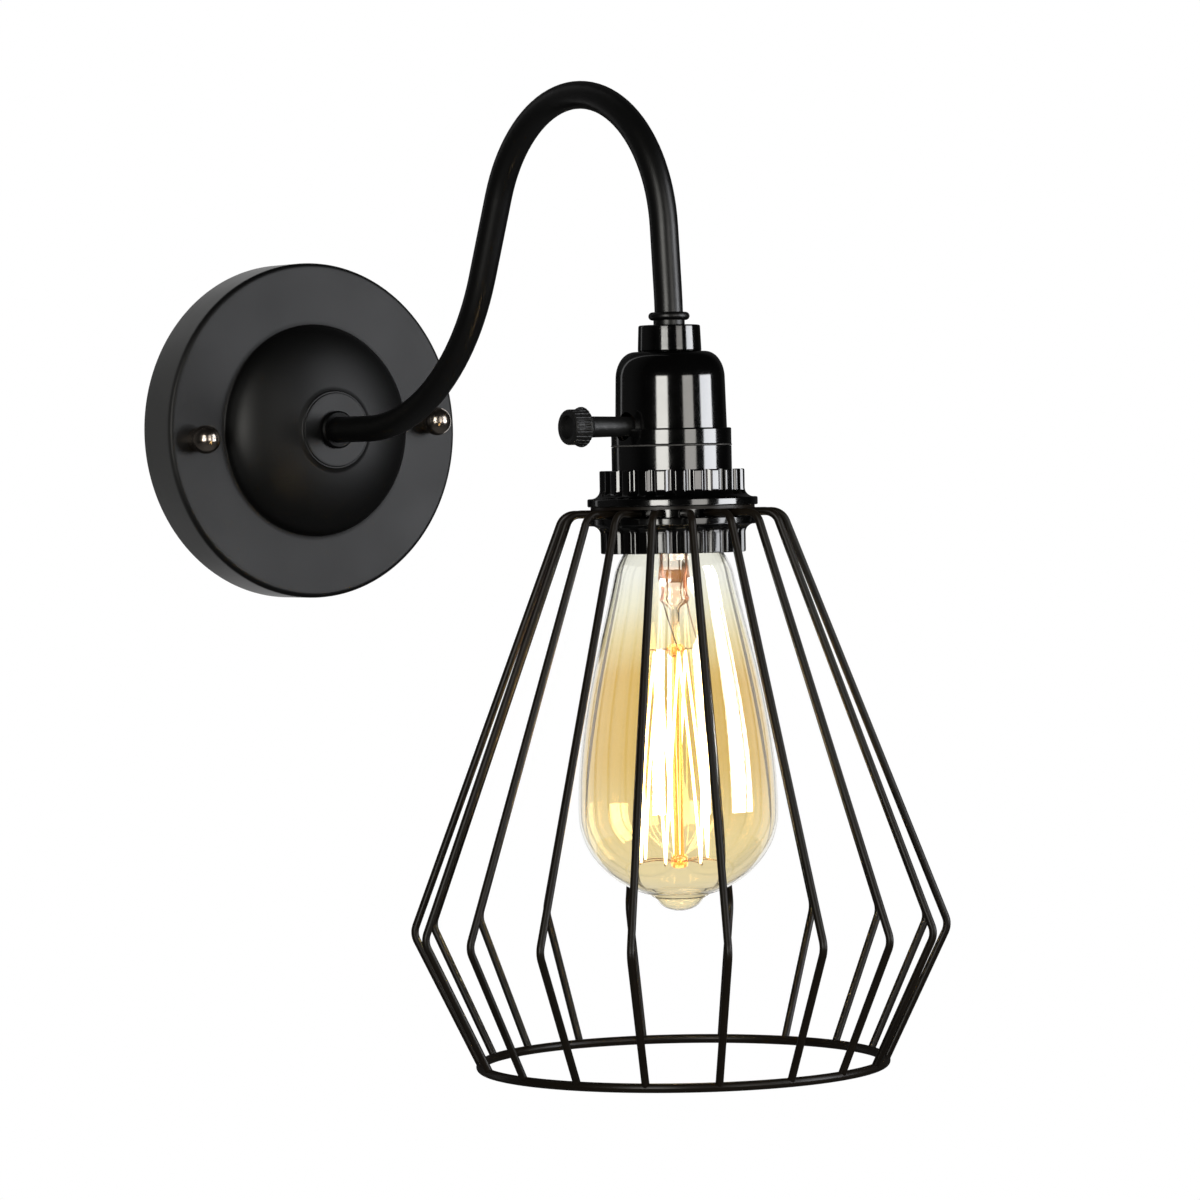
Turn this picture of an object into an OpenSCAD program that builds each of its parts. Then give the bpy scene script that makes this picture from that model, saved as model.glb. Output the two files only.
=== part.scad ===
// Cage wall light: a gooseneck arm on a round wall canopy carries a lamp socket with a turn
// switch, a wire cage clamped between two fluted shade rings, and a pear-shaped filament lamp.
// The origin is on the wall at the canopy's centre. +Z is up and the light reaches along -Y.

/* [Canopy] */
// Outer diameter of the wall canopy
canopy_d = 120; // [112:1:140]
// Height of the canopy's flat face above the wall
canopy_h = 18; // [16:0.5:24]
// Sheet thickness of the canopy
canopy_t = 1; // [0.8:0.1:1.4]
// Radius of the pressed edge between side and face
canopy_edge_r = 1.8; // [1.6:0.1:3]
// Diameter of the pressed dome at the face
dome_d = 75; // [62:1:80]
// Height of the dome above the face
dome_h = 14.5; // [12:0.1:18]
// Diameter of the flat land that the arm stands on
land_d = 26.6; // [24:0.2:32]
// Turn of the canopy on its bracket, anticlockwise from the front, in degrees
canopy_turn = 3.2; // [-4:0.1:4]

/* [Bracket] */
// How far the bracket strap runs past the studs' centres
strap_over = 6.8; // [6.4:0.1:6.8]
// Width of the bracket strap
strap_w = 22; // [20:1:26]
// Thickness of the bracket
strap_t = 1.6; // [1.2:0.1:2.5]
// Step of the strap's ends away from the wall
strap_step = 4.5; // [3.5:0.5:6]
// Distance between the centres of the two wall screw slots
slot_spacing = 60; // [56:1:64]
// Length of a wall screw slot
slot_l = 12; // [8:0.5:12]
// Width of a wall screw slot
slot_w = 4.5; // [4:0.1:6]
// Diameter of the hole that the supply cable comes through
cable_hole_d = 14; // [10:0.5:15]
// Distance from the canopy's edge to a stud's centre
stud_inset = 11.3; // [10.8:0.1:11.6]
// Diameter of the canopy studs
stud_d = 4; // [3:0.5:5]
// Diameter of the ball nuts
ball_d = 10.2; // [9:0.2:12]
// Height of the terminal block
block_h = 16; // [14:1:18]

/* [Arm] */
// Outer diameter of the arm tube
arm_d = 9.2; // [9:0.1:10]
// Wall thickness of the arm tube
arm_wall = 1.2; // [1:0.1:1.5]
// Straight stretch of the arm, from the wall
arm_stub = 53.5; // [52:0.5:70]
// Radius of the bend that sends the arm upward
rise_r = 80; // [60:1:95]
// Angle of the rise above the horizontal, in degrees
rise_a = 68; // [60:0.5:75]
// Straight stretch of the rise
rise_l = 28.8; // [20:0.2:40]
// Radius of the crook at the top
crook_r = 49.3; // [42:0.1:56]
// Straight stretch between the crook and the easy bend below it
arm_link = 20; // [10:0.5:26]
// Radius of the easy bend above the socket
ease_r = 170; // [120:10:250]
// Angle of the easy bend, in degrees
ease_a = 4; // [3:0.5:6]
// Straight end of the arm, down through the neck into the socket
arm_end = 14; // [13.5:0.5:17]

/* [Socket] */
// Height of the neck collar
neck_h = 8.5; // [6:0.5:12]
// Diameter of the neck collar
neck_d = 20; // [17:0.5:21]
// Height of the socket cap above its band
cap_h = 24.7; // [24.3:0.2:28]
// Diameter of the socket cap at its foot
cap_d = 36; // [35:0.2:37]
// Height of the band round the foot of the cap
band_h = 5.7; // [5:0.1:8]
// Diameter of the band and of the bare part of the shell
band_d = 38.7; // [38.2:0.1:39.4]
// Sheet thickness of cap and shell
socket_t = 0.8; // [0.6:0.1:0.9]
// Bare height of the shell between the band and the upper shade ring
shell_bare_h = 7.6; // [6:0.2:10]
// Outside diameter of the shell's thread for the shade rings
shell_thread_d = 40; // [39.6:0.1:40.4]
// Height of the switch axis above the foot of the cap's band
knob_rise = 6.5; // [6:0.1:7]
// Distance from the lamp's axis to the knob's outer end
knob_reach = 40.8; // [40:0.2:50]
// Largest diameter of the knob
knob_d = 12.9; // [11:0.1:15]
// Diameter of the switch spindle
spindle_d = 4; // [3:0.2:4.4]

/* [Shade rings] */
// Outside diameter of a shade ring's flange
flange_d = 54.9; // [53:0.1:58]
// Thickness of the flange
flange_t = 2.6; // [2:0.1:3.5]
// Diameter of the fluted skirt
skirt_d = 46.8; // [45.5:0.1:48]
// Height of a shade ring
ring_h = 11.6; // [10:0.1:14]
// Number of flutes
flutes = 24; // [18:1:26]
// Radius of a flute's cutter
flute_r = 1.3; // [1.1:0.1:1.6]

/* [Cage] */
// Number of cage wires
wires = 18; // [12:1:18]
// Diameter of a cage wire
wire_d = 2.5; // [2:0.1:3]
// Turn of the wire pattern about the lamp's axis, in degrees
cage_turn = 3.7; // [0:0.1:19]
// How far the hand-set wires stand off their even places: 0 makes an even cage
unevenness = 1; // [0:0.1:1.2]
// Radius at which a wire turns down from the hub
shoulder_r = 35.2; // [33.5:0.1:38]
// Radius of the cage at its widest
knee_r = 86.4; // [78:0.2:95]
// Drop from the wires at the hub to the widest point
knee_drop = 134.3; // [120:0.5:150]
// Radius of the ring at the mouth
mouth_r = 65.4; // [58:0.2:72]
// Drop from the widest point to the mouth ring
mouth_drop = 43.3; // [35:0.1:52]
// Diameter of the mouth ring's wire
mouth_d = 3; // [2.6:0.1:3.6]
// Bend radius at the shoulder
shoulder_bend = 5; // [4:0.5:6]
// Bend radius at the knee
knee_bend = 6; // [4:0.5:10]
// Thickness of the hub plate
hub_t = 1; // [0.8:0.1:1.5]

/* [Lamp] */
// Largest diameter of the lamp
bulb_d = 64.4; // [60:0.2:68]
// Length of the lamp from its contact to its tip
bulb_l = 146.5; // [140:0.5:152]
// Thickness of the lamp's glass
glass_t = 0.7; // [0.5:0.1:1]
// Diameter of the lamp's screw base
base_d = 26; // [25.4:0.1:26.2]
// Height of the lamp's screw base, contact included
base_h = 25; // [23:0.5:26]
// Number of filament strands
strands = 14; // [8:2:18]
// Diameter of a filament strand
strand_d = 0.5; // [0.4:0.1:0.8]

/* [Hidden] */

$fn = 96;
eps = 0.01;
lap = 0.2;
// Clearances: easy fit of fixed parts, running fit of the spindle, and gap round moving parts
fit = 0.1;
running = 0.05;
free_gap = 0.3;

// Canopy and what stands in it
canopy_r = canopy_d / 2;
dome_r = dome_d / 2;
land_r = land_d / 2;
land_y = canopy_h + dome_h;
stud_spacing = canopy_d - 2 * stud_inset;
stud_slot_a = 5;
stud_hole_d = stud_d + 0.4;
stud_head_h = 2;
stud_head_d = 7.6;
strap_l = stud_spacing + 2 * strap_over;
strap_joggle = 3;
strap_flat = (stud_spacing - stud_head_d) / 2 - strap_joggle - 1.9;
stud_nut_h = 3;
ball_neck_h = 1.4;
ball_y = canopy_h + ball_neck_h + ball_d / 2 - 1;
tab_w = 34;
tab_l = block_h + 14;
block_w = 31;
block_deep = 11;
block_top = -strap_w / 2 - 12;
pole_pitch = 10;
block_screw_x = pole_pitch / 2;
block_screw_d = 2.5;
block_screw_head = 4.4;
block_seat = 3;
insert_d = 4.6;
insert_bore = 2.8;
earth_x = 16.2;
earth_d = 4;
lug_d = 7.6;
lug_t = 0.8;
lug_barrel_d = 3.4;
lug_barrel_l = 6;

// Arm, laid out from the wall along its own centreline
arm_r = arm_d / 2;
arm_bore_r = arm_r - arm_wall;
arm_inner_end = 25;
crook_a = 90 + rise_a - ease_a;
arm_collar_r = 6.7;
arm_collar_h = 2;
arm_washer_t = 0.8;
arm_nut_af = 14;
arm_nut_h = 3;
core_d = 2;
core_gap = 1.3;
block_mid_y = -strap_t - block_deep / 2;
lug_mid_y = -strap_t - lug_barrel_d / 2;

// Lamp axis and the top of the straight end of the arm
axis_y = arm_stub + rise_r * sin(rise_a) + rise_l * cos(rise_a)
    + crook_r * (sin(rise_a) + cos(ease_a)) + arm_link * sin(ease_a)
    + ease_r * (1 - cos(ease_a));
arm_drop_z = rise_r * (1 - cos(rise_a)) + rise_l * sin(rise_a)
    + crook_r * (sin(ease_a) - cos(rise_a)) - arm_link * cos(ease_a) - ease_r * sin(ease_a);
bead_r = 1.3;
bead_sleeve_h = 4.2;
bead_sleeve_r = 5.05;

// Heights down the socket
neck_top = arm_drop_z;
cap_top = neck_top - neck_h;
cap_foot = cap_top - cap_h;
band_foot = cap_foot - band_h;
rings_top = band_foot - shell_bare_h;
upper_foot = rings_top - ring_h;
hub_foot = upper_foot - hub_t;
wire_z = hub_foot - wire_d / 2;
lower_top = hub_foot - wire_d;
lower_foot = lower_top - ring_h;
knob_z = band_foot + knob_rise;

// Socket outlines
cap_r = cap_d / 2;
cap_top_r = cap_r - 0.4;
shoulder_w = 6.1;
shoulder_h = 8.7;
band_r = band_d / 2;
shell_r = shell_thread_d / 2;
shell_bore_r = band_r - socket_t - 0.9;
spigot_h = 4.4;
liner_t = 0.5;
socket_nut_h = 2.6;
grub_d = 3;
grub_l = 4.6;
shell_foot = lower_foot + 0.4;
hub_r = flange_d / 2 - 1;
// Degrees each wire stands off its even place, as seen in the photograph
wire_offs = [0, -1, -1, 2, 2, 1.5, 1, 0, 0, 0.5, 0, 0, 0, 1, -0.5, -1.5, 0, 0.5];
wire_start_r = shell_r + 1.6;

// Lamp heights
bulb_r = bulb_d / 2;
base_r = base_d / 2;
lamp_reach = 115.6;
belly_rise = 32;
tip_z = lower_foot - lamp_reach;
contact_z = tip_z + bulb_l;
rim_z = contact_z - base_h;
belly_z = tip_z + belly_rise;
// Glass outline, by radius and drop below the rim of the screw base
glass_lip = 7;
throat_r = 17.4;
throat_drop = 6;
cone_r = 19.2;
cone_drop = 12.6;
flank_r = 21;
flank_drop = 19;
swell_r = 23.4;
swell_drop = 32;
belly_drop = 58;
bowl_lift = 4;
nub_r = 7.6;
nub_h = 5;
nub_fillet = 3;
contact_h = 2.2;
insulator_h = 3.3;

// Switch and lamp holder inside the socket
screw_r = base_r + free_gap;
screw_t = 0.4;
seat_r = screw_r + screw_t + 0.8;
rivet_r = 1.5;
contact_r = 4.8;
insulator_foot_r = 10.4;
core_r = shell_bore_r - liner_t - fit;
core_top = contact_z + 5;
core_foot = rim_z + 6;
contact_leaf_t = 0.6;
switch_r = 13;
switch_top = cap_top - 11.4;
post_x = 5.2;
post_d = 2.6;
post_z = switch_top - 5;
switch_flat_y = 9;
switch_bay = 10;
switch_bay_l = 8;
pivot_l = 3;
cam_w = 6;
cam_l = 6;
leaf_t = 0.5;
stem_end_x = cap_r - 1.6;
stem_d = 6.8;
knob_head_l = 8.6;
knob_flare_l = 2.4;
knob_hole_r = 5;
spindle_end = knob_reach - 5;

// Filament cage inside the lamp, by height above the tip
hook_top_rise = 84;
hook_foot_rise = 16;
pinch_rise = 99;
hook_top_z = tip_z + hook_top_rise;
hook_foot_z = tip_z + hook_foot_rise;
pinch_z = tip_z + pinch_rise;
hook_top_r = 9.5;
hook_foot_r = 13;
stem_rod_r = 1.6;

// Points of a circular arc or, with two radii, of an elliptic one
function arc(cx, cy, rx, ry, a0, a1, n) =
    [for (i = [0:n]) let (a = a0 + (a1 - a0) * i / n) [cx + rx * cos(a), cy + ry * sin(a)]];
// Points of a cubic curve from a to d with the handles b and c
function curve(a, b, c, d, n) =
    [for (i = [0:n]) let (t = i / n, u = 1 - t)
        u * u * u * a + 3 * u * u * t * b + 3 * u * t * t * c + t * t * t * d];
function mirrored(pts) = [for (i = [len(pts) - 1:-1:0]) [-pts[i][0], pts[i][1]]];
function reversed(pts) = [for (i = [len(pts) - 1:-1:0]) pts[i]];

// ---- placing -------------------------------------------------------------------------------

// Children drawn upward from z = 0 stand out from the wall
module on_wall(height = 0) {
    translate([0, -height, 0]) rotate([90, 0, 0]) children();
}

// Children drawn about z are set on the lamp's axis at height z
module on_axis(z = 0) {
    translate([0, -axis_y, z]) children();
}

// The two canopy studs, turned with the canopy
module at_studs(height) {
    for (side = [-1, 1])
        rotate([0, -canopy_turn, 0]) translate([side * stud_spacing / 2, 0, 0]) on_wall(height)
            children();
}

// Section of a rod of radius r or, with a bore, of a tube, thinned by a little on each side
module section(r, bore, less = 0) {
    difference() {
        circle(r = r - less);
        if (bore > 0) circle(r = bore + less);
    }
}

// A rod or tube that runs straight, then goes on with its children. It laps into what follows
module run(length, r, bore = 0) {
    translate([0, 0, -lap]) linear_extrude(height = length + 2 * lap) section(r, bore);
    translate([0, 0, length]) children();
}

// A rod or tube that bends toward +X, a hair thinner so that it ends inside the straight runs
module bend(radius, angle, r, bore = 0) {
    translate([radius, 0, 0]) rotate([90, 0, 180]) rotate_extrude(angle = angle)
        translate([radius, 0]) section(r, bore, eps);
    translate([radius * (1 - cos(angle)), 0, radius * sin(angle)]) rotate([0, angle, 0])
        children();
}

// The same, bending toward -X
module bend_back(radius, angle, r, bore = 0) {
    rotate([0, 0, 180]) bend(radius, angle, r, bore) rotate([0, 0, 180]) children();
}

module ring(r_out, r_in, h) {
    difference() {
        cylinder(h = h, r = r_out);
        translate([0, 0, -eps]) cylinder(h = h + 2 * eps, r = r_in);
    }
}

module hex_nut(across, bore_r, h) {
    difference() {
        cylinder(h = h, d = across / cos(30), $fn = 6);
        translate([0, 0, -eps]) cylinder(h = h + 2 * eps, r = bore_r);
    }
}

// Slotted pan-head screw, head down to z = 0 and shank below it
module screw(head_d, head_h, shank_d, shank_l) {
    difference() {
        cylinder(h = head_h, d1 = head_d, d2 = head_d * 0.8);
        translate([-head_d, -head_d * 0.07, head_h * 0.5])
            cube([2 * head_d, head_d * 0.14, head_h]);
    }
    translate([0, 0, -shank_l]) cylinder(h = shank_l + eps, d = shank_d);
}

// ---- canopy --------------------------------------------------------------------------------

// Outline of the canopy's surface at a depth of t below its outside, from rim to centre hole
function canopy_outline(t, hole) = concat(
    [[canopy_r - t, 0]],
    arc(canopy_r - canopy_edge_r, canopy_h - canopy_edge_r,
        canopy_edge_r - t, canopy_edge_r - t, 0, 90, 5),
    [[dome_r + 1.6 - t / 2, canopy_h - t]],
    [[dome_r + 0.4 - t, canopy_h + 0.6 - t]],
    arc(0, canopy_h - t, dome_r - t, dome_h, 8, acos((land_r + 0.9 - t) / (dome_r - t)), 12),
    [[land_r - t, land_y - t], [hole, land_y - t]]);

module canopy() {
    color([0.16, 0.16, 0.165]) difference() {
        on_wall() rotate_extrude()
            polygon(concat(canopy_outline(0, arm_r + fit),
                reversed(canopy_outline(canopy_t, arm_r + fit))));
        at_studs(0) cylinder(h = 2 * canopy_h, d = stud_hole_d);
    }
}

module arm_collar() {
    chamfer = 0.6;
    color([0.14, 0.14, 0.15]) on_wall(land_y) rotate_extrude() polygon([
        [arm_r + fit / 2, 0], [arm_collar_r, 0], [arm_collar_r, arm_collar_h - chamfer],
        [arm_collar_r - chamfer, arm_collar_h], [arm_r + fit / 2, arm_collar_h]]);
}

module arm_washer() {
    tooth_w = 1.6;
    teeth = 12;
    r_out = arm_nut_af / 2 + 1.4;
    color("silver") on_wall(land_y - canopy_t - arm_washer_t) difference() {
        ring(r_out, arm_r + fit, arm_washer_t);
        for (i = [0:teeth - 1]) rotate(i * 360 / teeth)
            translate([r_out - 1.2, -tooth_w / 2, -eps])
                cube([2, tooth_w, arm_washer_t + 2 * eps]);
    }
}

module arm_lock_nut() {
    color("silver") on_wall(land_y - canopy_t - arm_washer_t - arm_nut_h)
        hex_nut(arm_nut_af, arm_r + fit / 2, arm_nut_h);
}

// Smooth bush that keeps the wires off the tube's cut end
module cable_bush() {
    lip_h = 1.5;
    plug_l = 5;
    bore_r = core_gap + core_d / 2 + fit;
    color("ivory") on_wall(arm_inner_end) difference() {
        union() {
            translate([0, 0, -lip_h]) cylinder(h = lip_h, r = arm_r);
            cylinder(h = plug_l, r = arm_bore_r - fit / 2);
        }
        translate([0, 0, -lip_h - eps]) cylinder(h = lip_h + plug_l + 2 * eps, r = bore_r);
    }
}

// ---- bracket -------------------------------------------------------------------------------

// Slot along an arc about the centre, for the studs
module arc_slot(radius, half_a, width, depth) {
    rotate(-half_a) rotate_extrude(angle = 2 * half_a)
        translate([radius - width / 2, 0]) square([width, depth]);
    for (a = [-half_a, half_a]) rotate(a) translate([radius, 0, 0])
        cylinder(h = depth, d = width);
}

module long_slot(length, width, depth) {
    for (side = [-1, 1]) translate([side * (length - width) / 2, 0, 0])
        cylinder(h = depth, d = width);
    translate([-(length - width) / 2, -width / 2, 0]) cube([length - width, width, depth]);
}

module mounting_bracket() {
    half_l = strap_l / 2;
    shift = 0.4 * strap_t;
    wall_side = [[-half_l, -strap_step], [-strap_flat - strap_joggle, -strap_step],
        [-strap_flat, 0], [strap_flat, 0], [strap_flat + strap_joggle, -strap_step],
        [half_l, -strap_step]];
    front_side = [[half_l, -strap_step - strap_t],
        [strap_flat + strap_joggle - shift, -strap_step - strap_t],
        [strap_flat - shift, -strap_t], [-strap_flat + shift, -strap_t],
        [-strap_flat - strap_joggle + shift, -strap_step - strap_t],
        [-half_l, -strap_step - strap_t]];
    cut = strap_step + strap_t + 1;
    color("silver") difference() {
        union() {
            intersection() {
                translate([0, 0, -strap_w / 2]) linear_extrude(height = strap_w)
                    polygon(concat(wall_side, front_side));
                on_wall(-1) cylinder(h = cut + 1, d = strap_l);
            }
            translate([-tab_w / 2, -strap_t, -strap_w / 2 - tab_l])
                cube([tab_w, strap_t, tab_l + 1]);
        }
        on_wall(-1) cylinder(h = cut, d = cable_hole_d);
        for (side = [-1, 1]) {
            translate([side * slot_spacing / 2, 0, 0]) on_wall(-1)
                long_slot(slot_l, slot_w, cut);
            on_wall(-1) rotate(side > 0 ? 0 : 180)
                arc_slot(stud_spacing / 2, stud_slot_a, stud_hole_d, cut + 1);
        }
        translate([earth_x, 0, 0]) on_wall(-1) cylinder(h = cut, d = earth_d + fit);
        translate([block_screw_x, 0, block_top - block_h / 2]) on_wall(-1)
            cylinder(h = cut, d = block_screw_d + fit);
    }
}

module canopy_studs() {
    color("silver") at_studs(strap_step) {
        translate([0, 0, -stud_head_h]) cylinder(h = stud_head_h, d = stud_head_d);
        cylinder(h = ball_y - strap_step, d = stud_d);
    }
}

module stud_lock_nuts() {
    color("silver") at_studs(strap_step + strap_t)
        hex_nut(stud_d * 1.75, stud_d / 2 + fit / 2, stud_nut_h);
}

module ball_nuts() {
    ball_r = ball_d / 2;
    color([0.3, 0.27, 0.25]) at_studs(canopy_h) difference() {
        union() {
            cylinder(h = ball_y - canopy_h, r = ball_r * 0.86);
            translate([0, 0, ball_y - canopy_h]) sphere(r = ball_r, $fn = 64);
        }
        translate([0, 0, -eps]) cylinder(h = ball_y - canopy_h + fit, d = stud_d + fit);
    }
}

// ---- wiring in the canopy ------------------------------------------------------------------

module at_poles() {
    for (i = [-1:1]) translate([i * pole_pitch, -strap_t - block_deep / 2, block_top])
        children();
}

module at_pole_screws() {
    at_poles() for (dz = [0.27, 0.73]) translate([0, 0, -dz * block_h])
        rotate([90, 0, 0]) children();
}

module terminal_block() {
    color("ivory") difference() {
        translate([-block_w / 2, -strap_t - block_deep, block_top - block_h])
            cube([block_w, block_deep, block_h]);
        at_poles() translate([0, 0, -block_h - eps])
            cylinder(h = block_h + 2 * eps, d = insert_d + fit);
        at_pole_screws() cylinder(h = block_deep, d = 3.4);
        translate([block_screw_x, 0, block_top - block_h / 2]) {
            on_wall() cylinder(h = 2 * block_deep, d = block_screw_d + fit);
            on_wall(strap_t + block_seat) cylinder(h = block_deep, d = block_screw_head + 2 * fit);
        }
        for (i = [-1, 1]) translate([i * pole_pitch / 2 - 0.6,
            -strap_t - block_deep - eps, block_top - block_h - eps])
            cube([1.2, 2, block_h + 2 * eps]);
    }
}

module terminal_inserts() {
    color("goldenrod") difference() {
        at_poles() translate([0, 0, -block_h + 1]) ring(insert_d / 2, insert_bore / 2, block_h - 2);
        at_pole_screws() cylinder(h = block_deep, d = 3);
    }
}

module terminal_screws() {
    color("silver") at_pole_screws() translate([0, 0, insert_bore / 2]) difference() {
        cylinder(h = 3.2, d = 2.9);
        translate([-2, -0.3, 2.4]) cube([4, 0.6, 1]);
    }
}

module block_screw() {
    color("silver") translate([block_screw_x, 0, block_top - block_h / 2])
        on_wall(strap_t + block_seat)
            screw(block_screw_head, 2, block_screw_d, strap_t + block_seat);
}

module earth_screw() {
    color("gold") translate([earth_x, 0, 0]) on_wall(strap_t + lug_t)
        screw(lug_d, 2.6, earth_d, strap_t + lug_t);
}

// Ring lug under the earth screw, with its crimped barrel pointing down
module earth_lug() {
    color("gainsboro") difference() {
        union() {
            translate([earth_x, 0, 0]) on_wall(strap_t) cylinder(h = lug_t, d = lug_d);
            translate([earth_x - 1.2, -strap_t - lug_t, -lug_d / 2 - 2.4])
                cube([2.4, lug_t, 3.2]);
            translate([earth_x, lug_mid_y, -lug_d / 2 - 1.8 - lug_barrel_l])
                cylinder(h = lug_barrel_l, d = lug_barrel_d);
        }
        translate([earth_x, 0, 0]) on_wall(0) cylinder(h = 5, d = earth_d + fit);
        translate([earth_x, lug_mid_y, -lug_d / 2 - 1.8 - lug_barrel_l - eps])
            cylinder(h = lug_barrel_l - 1, d = core_d + fit);
    }
}

// A wire swept along its route: one ring of eight corners at each point
module wire(route, r) {
    sides = 8;
    last = len(route) - 1;
    function heading(i) =
        let (d = route[min(i + 1, last)] - route[max(i - 1, 0)]) d / norm(d);
    function across(i) =
        let (h = heading(i), u = [1, 0, 0] - h[0] * h) u / norm(u);
    function corners(i) = let (u = across(i), v = cross(heading(i), u))
        [for (k = [0:sides - 1]) let (a = 360 * k / sides)
            route[i] + r * (cos(a) * u + sin(a) * v)];
    walls = [for (i = [0:last - 1], k = [0:sides - 1])
        let (a = i * sides + k, b = i * sides + (k + 1) % sides)
            each [[a, b, b + sides], [a, b + sides, a + sides]]];
    caps = [[for (k = [sides - 1:-1:0]) k], [for (k = [0:sides - 1]) last * sides + k]];
    polyhedron(points = [for (i = [0:last]) each corners(i)], faces = concat(walls, caps));
}

// Smooth curve through hand-picked points, with n steps between neighbours
function smooth(pts, n) = let (last = len(pts) - 1) concat([for (i = [0:last - 1]) each
    let (a = pts[max(i - 1, 0)], b = pts[i], c = pts[i + 1], d = pts[min(i + 2, last)])
        [for (k = [0:n - 1]) let (t = k / n) 0.5 * (2 * b + t * (c - a)
            + t * t * (2 * a - 5 * b + 4 * c - d) + t * t * t * (3 * b - a - 3 * c + d))]],
    [pts[last]]);

// Points along the arm's centreline, moved sideways by x
function along_arm(x) = let (
    rise_y = arm_stub + rise_r * sin(rise_a),
    rise_z = rise_r * (1 - cos(rise_a)),
    crook_y = rise_y + rise_l * cos(rise_a) + crook_r * sin(rise_a),
    crook_z = rise_z + rise_l * sin(rise_a) - crook_r * cos(rise_a)) concat(
    [for (a = [0:7:rise_a]) [x, -arm_stub - rise_r * sin(a), rise_r * (1 - cos(a))]],
    [for (a = [90 + rise_a:-9:ease_a]) [x, -crook_y - crook_r * cos(a), crook_z + crook_r * sin(a)]],
    [[x, -axis_y + ease_r * (1 - cos(ease_a)), arm_drop_z + ease_r * sin(ease_a)],
        [x, -axis_y, arm_drop_z - 2]]);

// Route of a wire from its pole in the block, through the arm, to its screw in the socket
function core_route(pole_x, side) = concat(
    smooth([[pole_x, block_mid_y, block_top - 3], [pole_x, block_mid_y, block_top + 2],
        [pole_x * 0.6 + side, block_mid_y - 4, block_top + 12],
        [side * core_gap, block_mid_y - 11, -2.5],
        [side * core_gap, -arm_inner_end + 1, 0]], 3),
    [[side * core_gap, -arm_inner_end - 15, 0]],
    along_arm(side * core_gap),
    smooth([[side * core_gap, -axis_y, cap_top - 2], [side * core_gap, -axis_y, cap_top - 5],
        [side * (core_gap + post_x) / 2, -axis_y, (cap_top - 5 + switch_top) / 2],
        [side * post_x, -axis_y, switch_top], [side * post_x, -axis_y, post_z]], 3));

module live_wire() {
    color("saddlebrown") wire(core_route(-pole_pitch, -1), core_d / 2);
}

module neutral_wire() {
    color("royalblue") wire(core_route(0, 1), core_d / 2);
}

module earth_wire() {
    mouth_z = -lug_d / 2 - 1.8 - lug_barrel_l;
    color("yellowgreen") wire(smooth([
        [pole_pitch, block_mid_y, block_top - 3], [pole_pitch, block_mid_y, block_top + 2],
        [(pole_pitch + earth_x) / 2, (block_mid_y + lug_mid_y) / 2, (block_top + mouth_z) / 2],
        [earth_x, lug_mid_y, mouth_z - 2], [earth_x, lug_mid_y, mouth_z - 0.5],
        [earth_x, lug_mid_y, mouth_z + 3]], 4), core_d / 2);
}

// ---- arm -----------------------------------------------------------------------------------

module arm_tube() {
    r = arm_r;
    bore = arm_bore_r;
    color([0.12, 0.12, 0.125]) on_wall(arm_inner_end + lap) rotate([0, 0, 90])
        run(arm_stub - arm_inner_end - lap, r, bore) bend(rise_r, rise_a, r, bore)
            run(rise_l, r, bore) bend_back(crook_r, crook_a, r, bore)
                run(arm_link, r, bore) bend_back(ease_r, ease_a, r, bore)
                    run(arm_end, r, bore);
}

// Stop ring that the arm's end stands in: a bead over a short sleeve
module arm_end_ring() {
    bore = arm_r + fit;
    color([0.12, 0.12, 0.125]) on_axis(neck_top) rotate_extrude() difference() {
        union() {
            square([bead_sleeve_r, bead_sleeve_h]);
            translate([bead_sleeve_r + 0.3, bead_sleeve_h - bead_r]) circle(r = bead_r, $fn = 48);
        }
        square([bore, bead_sleeve_h]);
    }
}

module neck_collar() {
    foot_r = neck_d / 2 + 0.25;
    top_r = neck_d / 2 - 0.05;
    edge = 0.5;
    color([0.05, 0.05, 0.055]) difference() {
        on_axis(cap_top) rotate_extrude() polygon(concat(
            [[arm_r + fit, 0]], arc(foot_r - edge, edge, edge, edge, -90, 0, 3),
            arc(top_r - edge, neck_h - edge, edge, edge, 0, 90, 3), [[arm_r + fit, neck_h]]));
        on_axis(cap_top + neck_h / 2) rotate([-90, 0, 0]) cylinder(h = neck_d, d = grub_d + fit);
    }
}

// Grub screw in the back of the collar, tight on the arm
module grub_screw() {
    color("dimgray") on_axis(cap_top + neck_h / 2) rotate([-90, 0, 0])
        translate([0, 0, arm_r]) difference() {
            cylinder(h = grub_l, d = grub_d);
            translate([0, 0, grub_l - 1.4]) cylinder(h = 2, d = 1.5, $fn = 6);
        }
}

module socket_nut() {
    color("silver") on_axis(cap_top - socket_t - socket_nut_h)
        hex_nut(arm_nut_af, arm_r + fit / 2, socket_nut_h);
}

// ---- socket --------------------------------------------------------------------------------

// Outline of the cap at a depth of t below its outside, from the arm's hole to the band
function cap_outline(t) = concat(
    [[arm_r + fit, cap_top - t]],
    arc(cap_top_r - shoulder_w, cap_top - shoulder_h, shoulder_w - t, shoulder_h - t, 90, 0, 10),
    [[cap_r - t, cap_foot - t]]);

module knob_hole(r, l) {
    on_axis(knob_z) rotate([0, -90, 0]) cylinder(h = l, r = r);
}

module socket_cap() {
    edge = 0.5;
    color([0.05, 0.05, 0.055]) difference() {
        on_axis() rotate_extrude() polygon(concat(cap_outline(0),
            [[cap_r, cap_foot], [band_r - edge, cap_foot], [band_r, cap_foot - edge],
                [band_r, band_foot], [band_r - socket_t, band_foot],
                [band_r - socket_t, cap_foot - socket_t]],
            reversed(cap_outline(socket_t))));
        knob_hole(knob_hole_r, band_d);
    }
}

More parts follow.
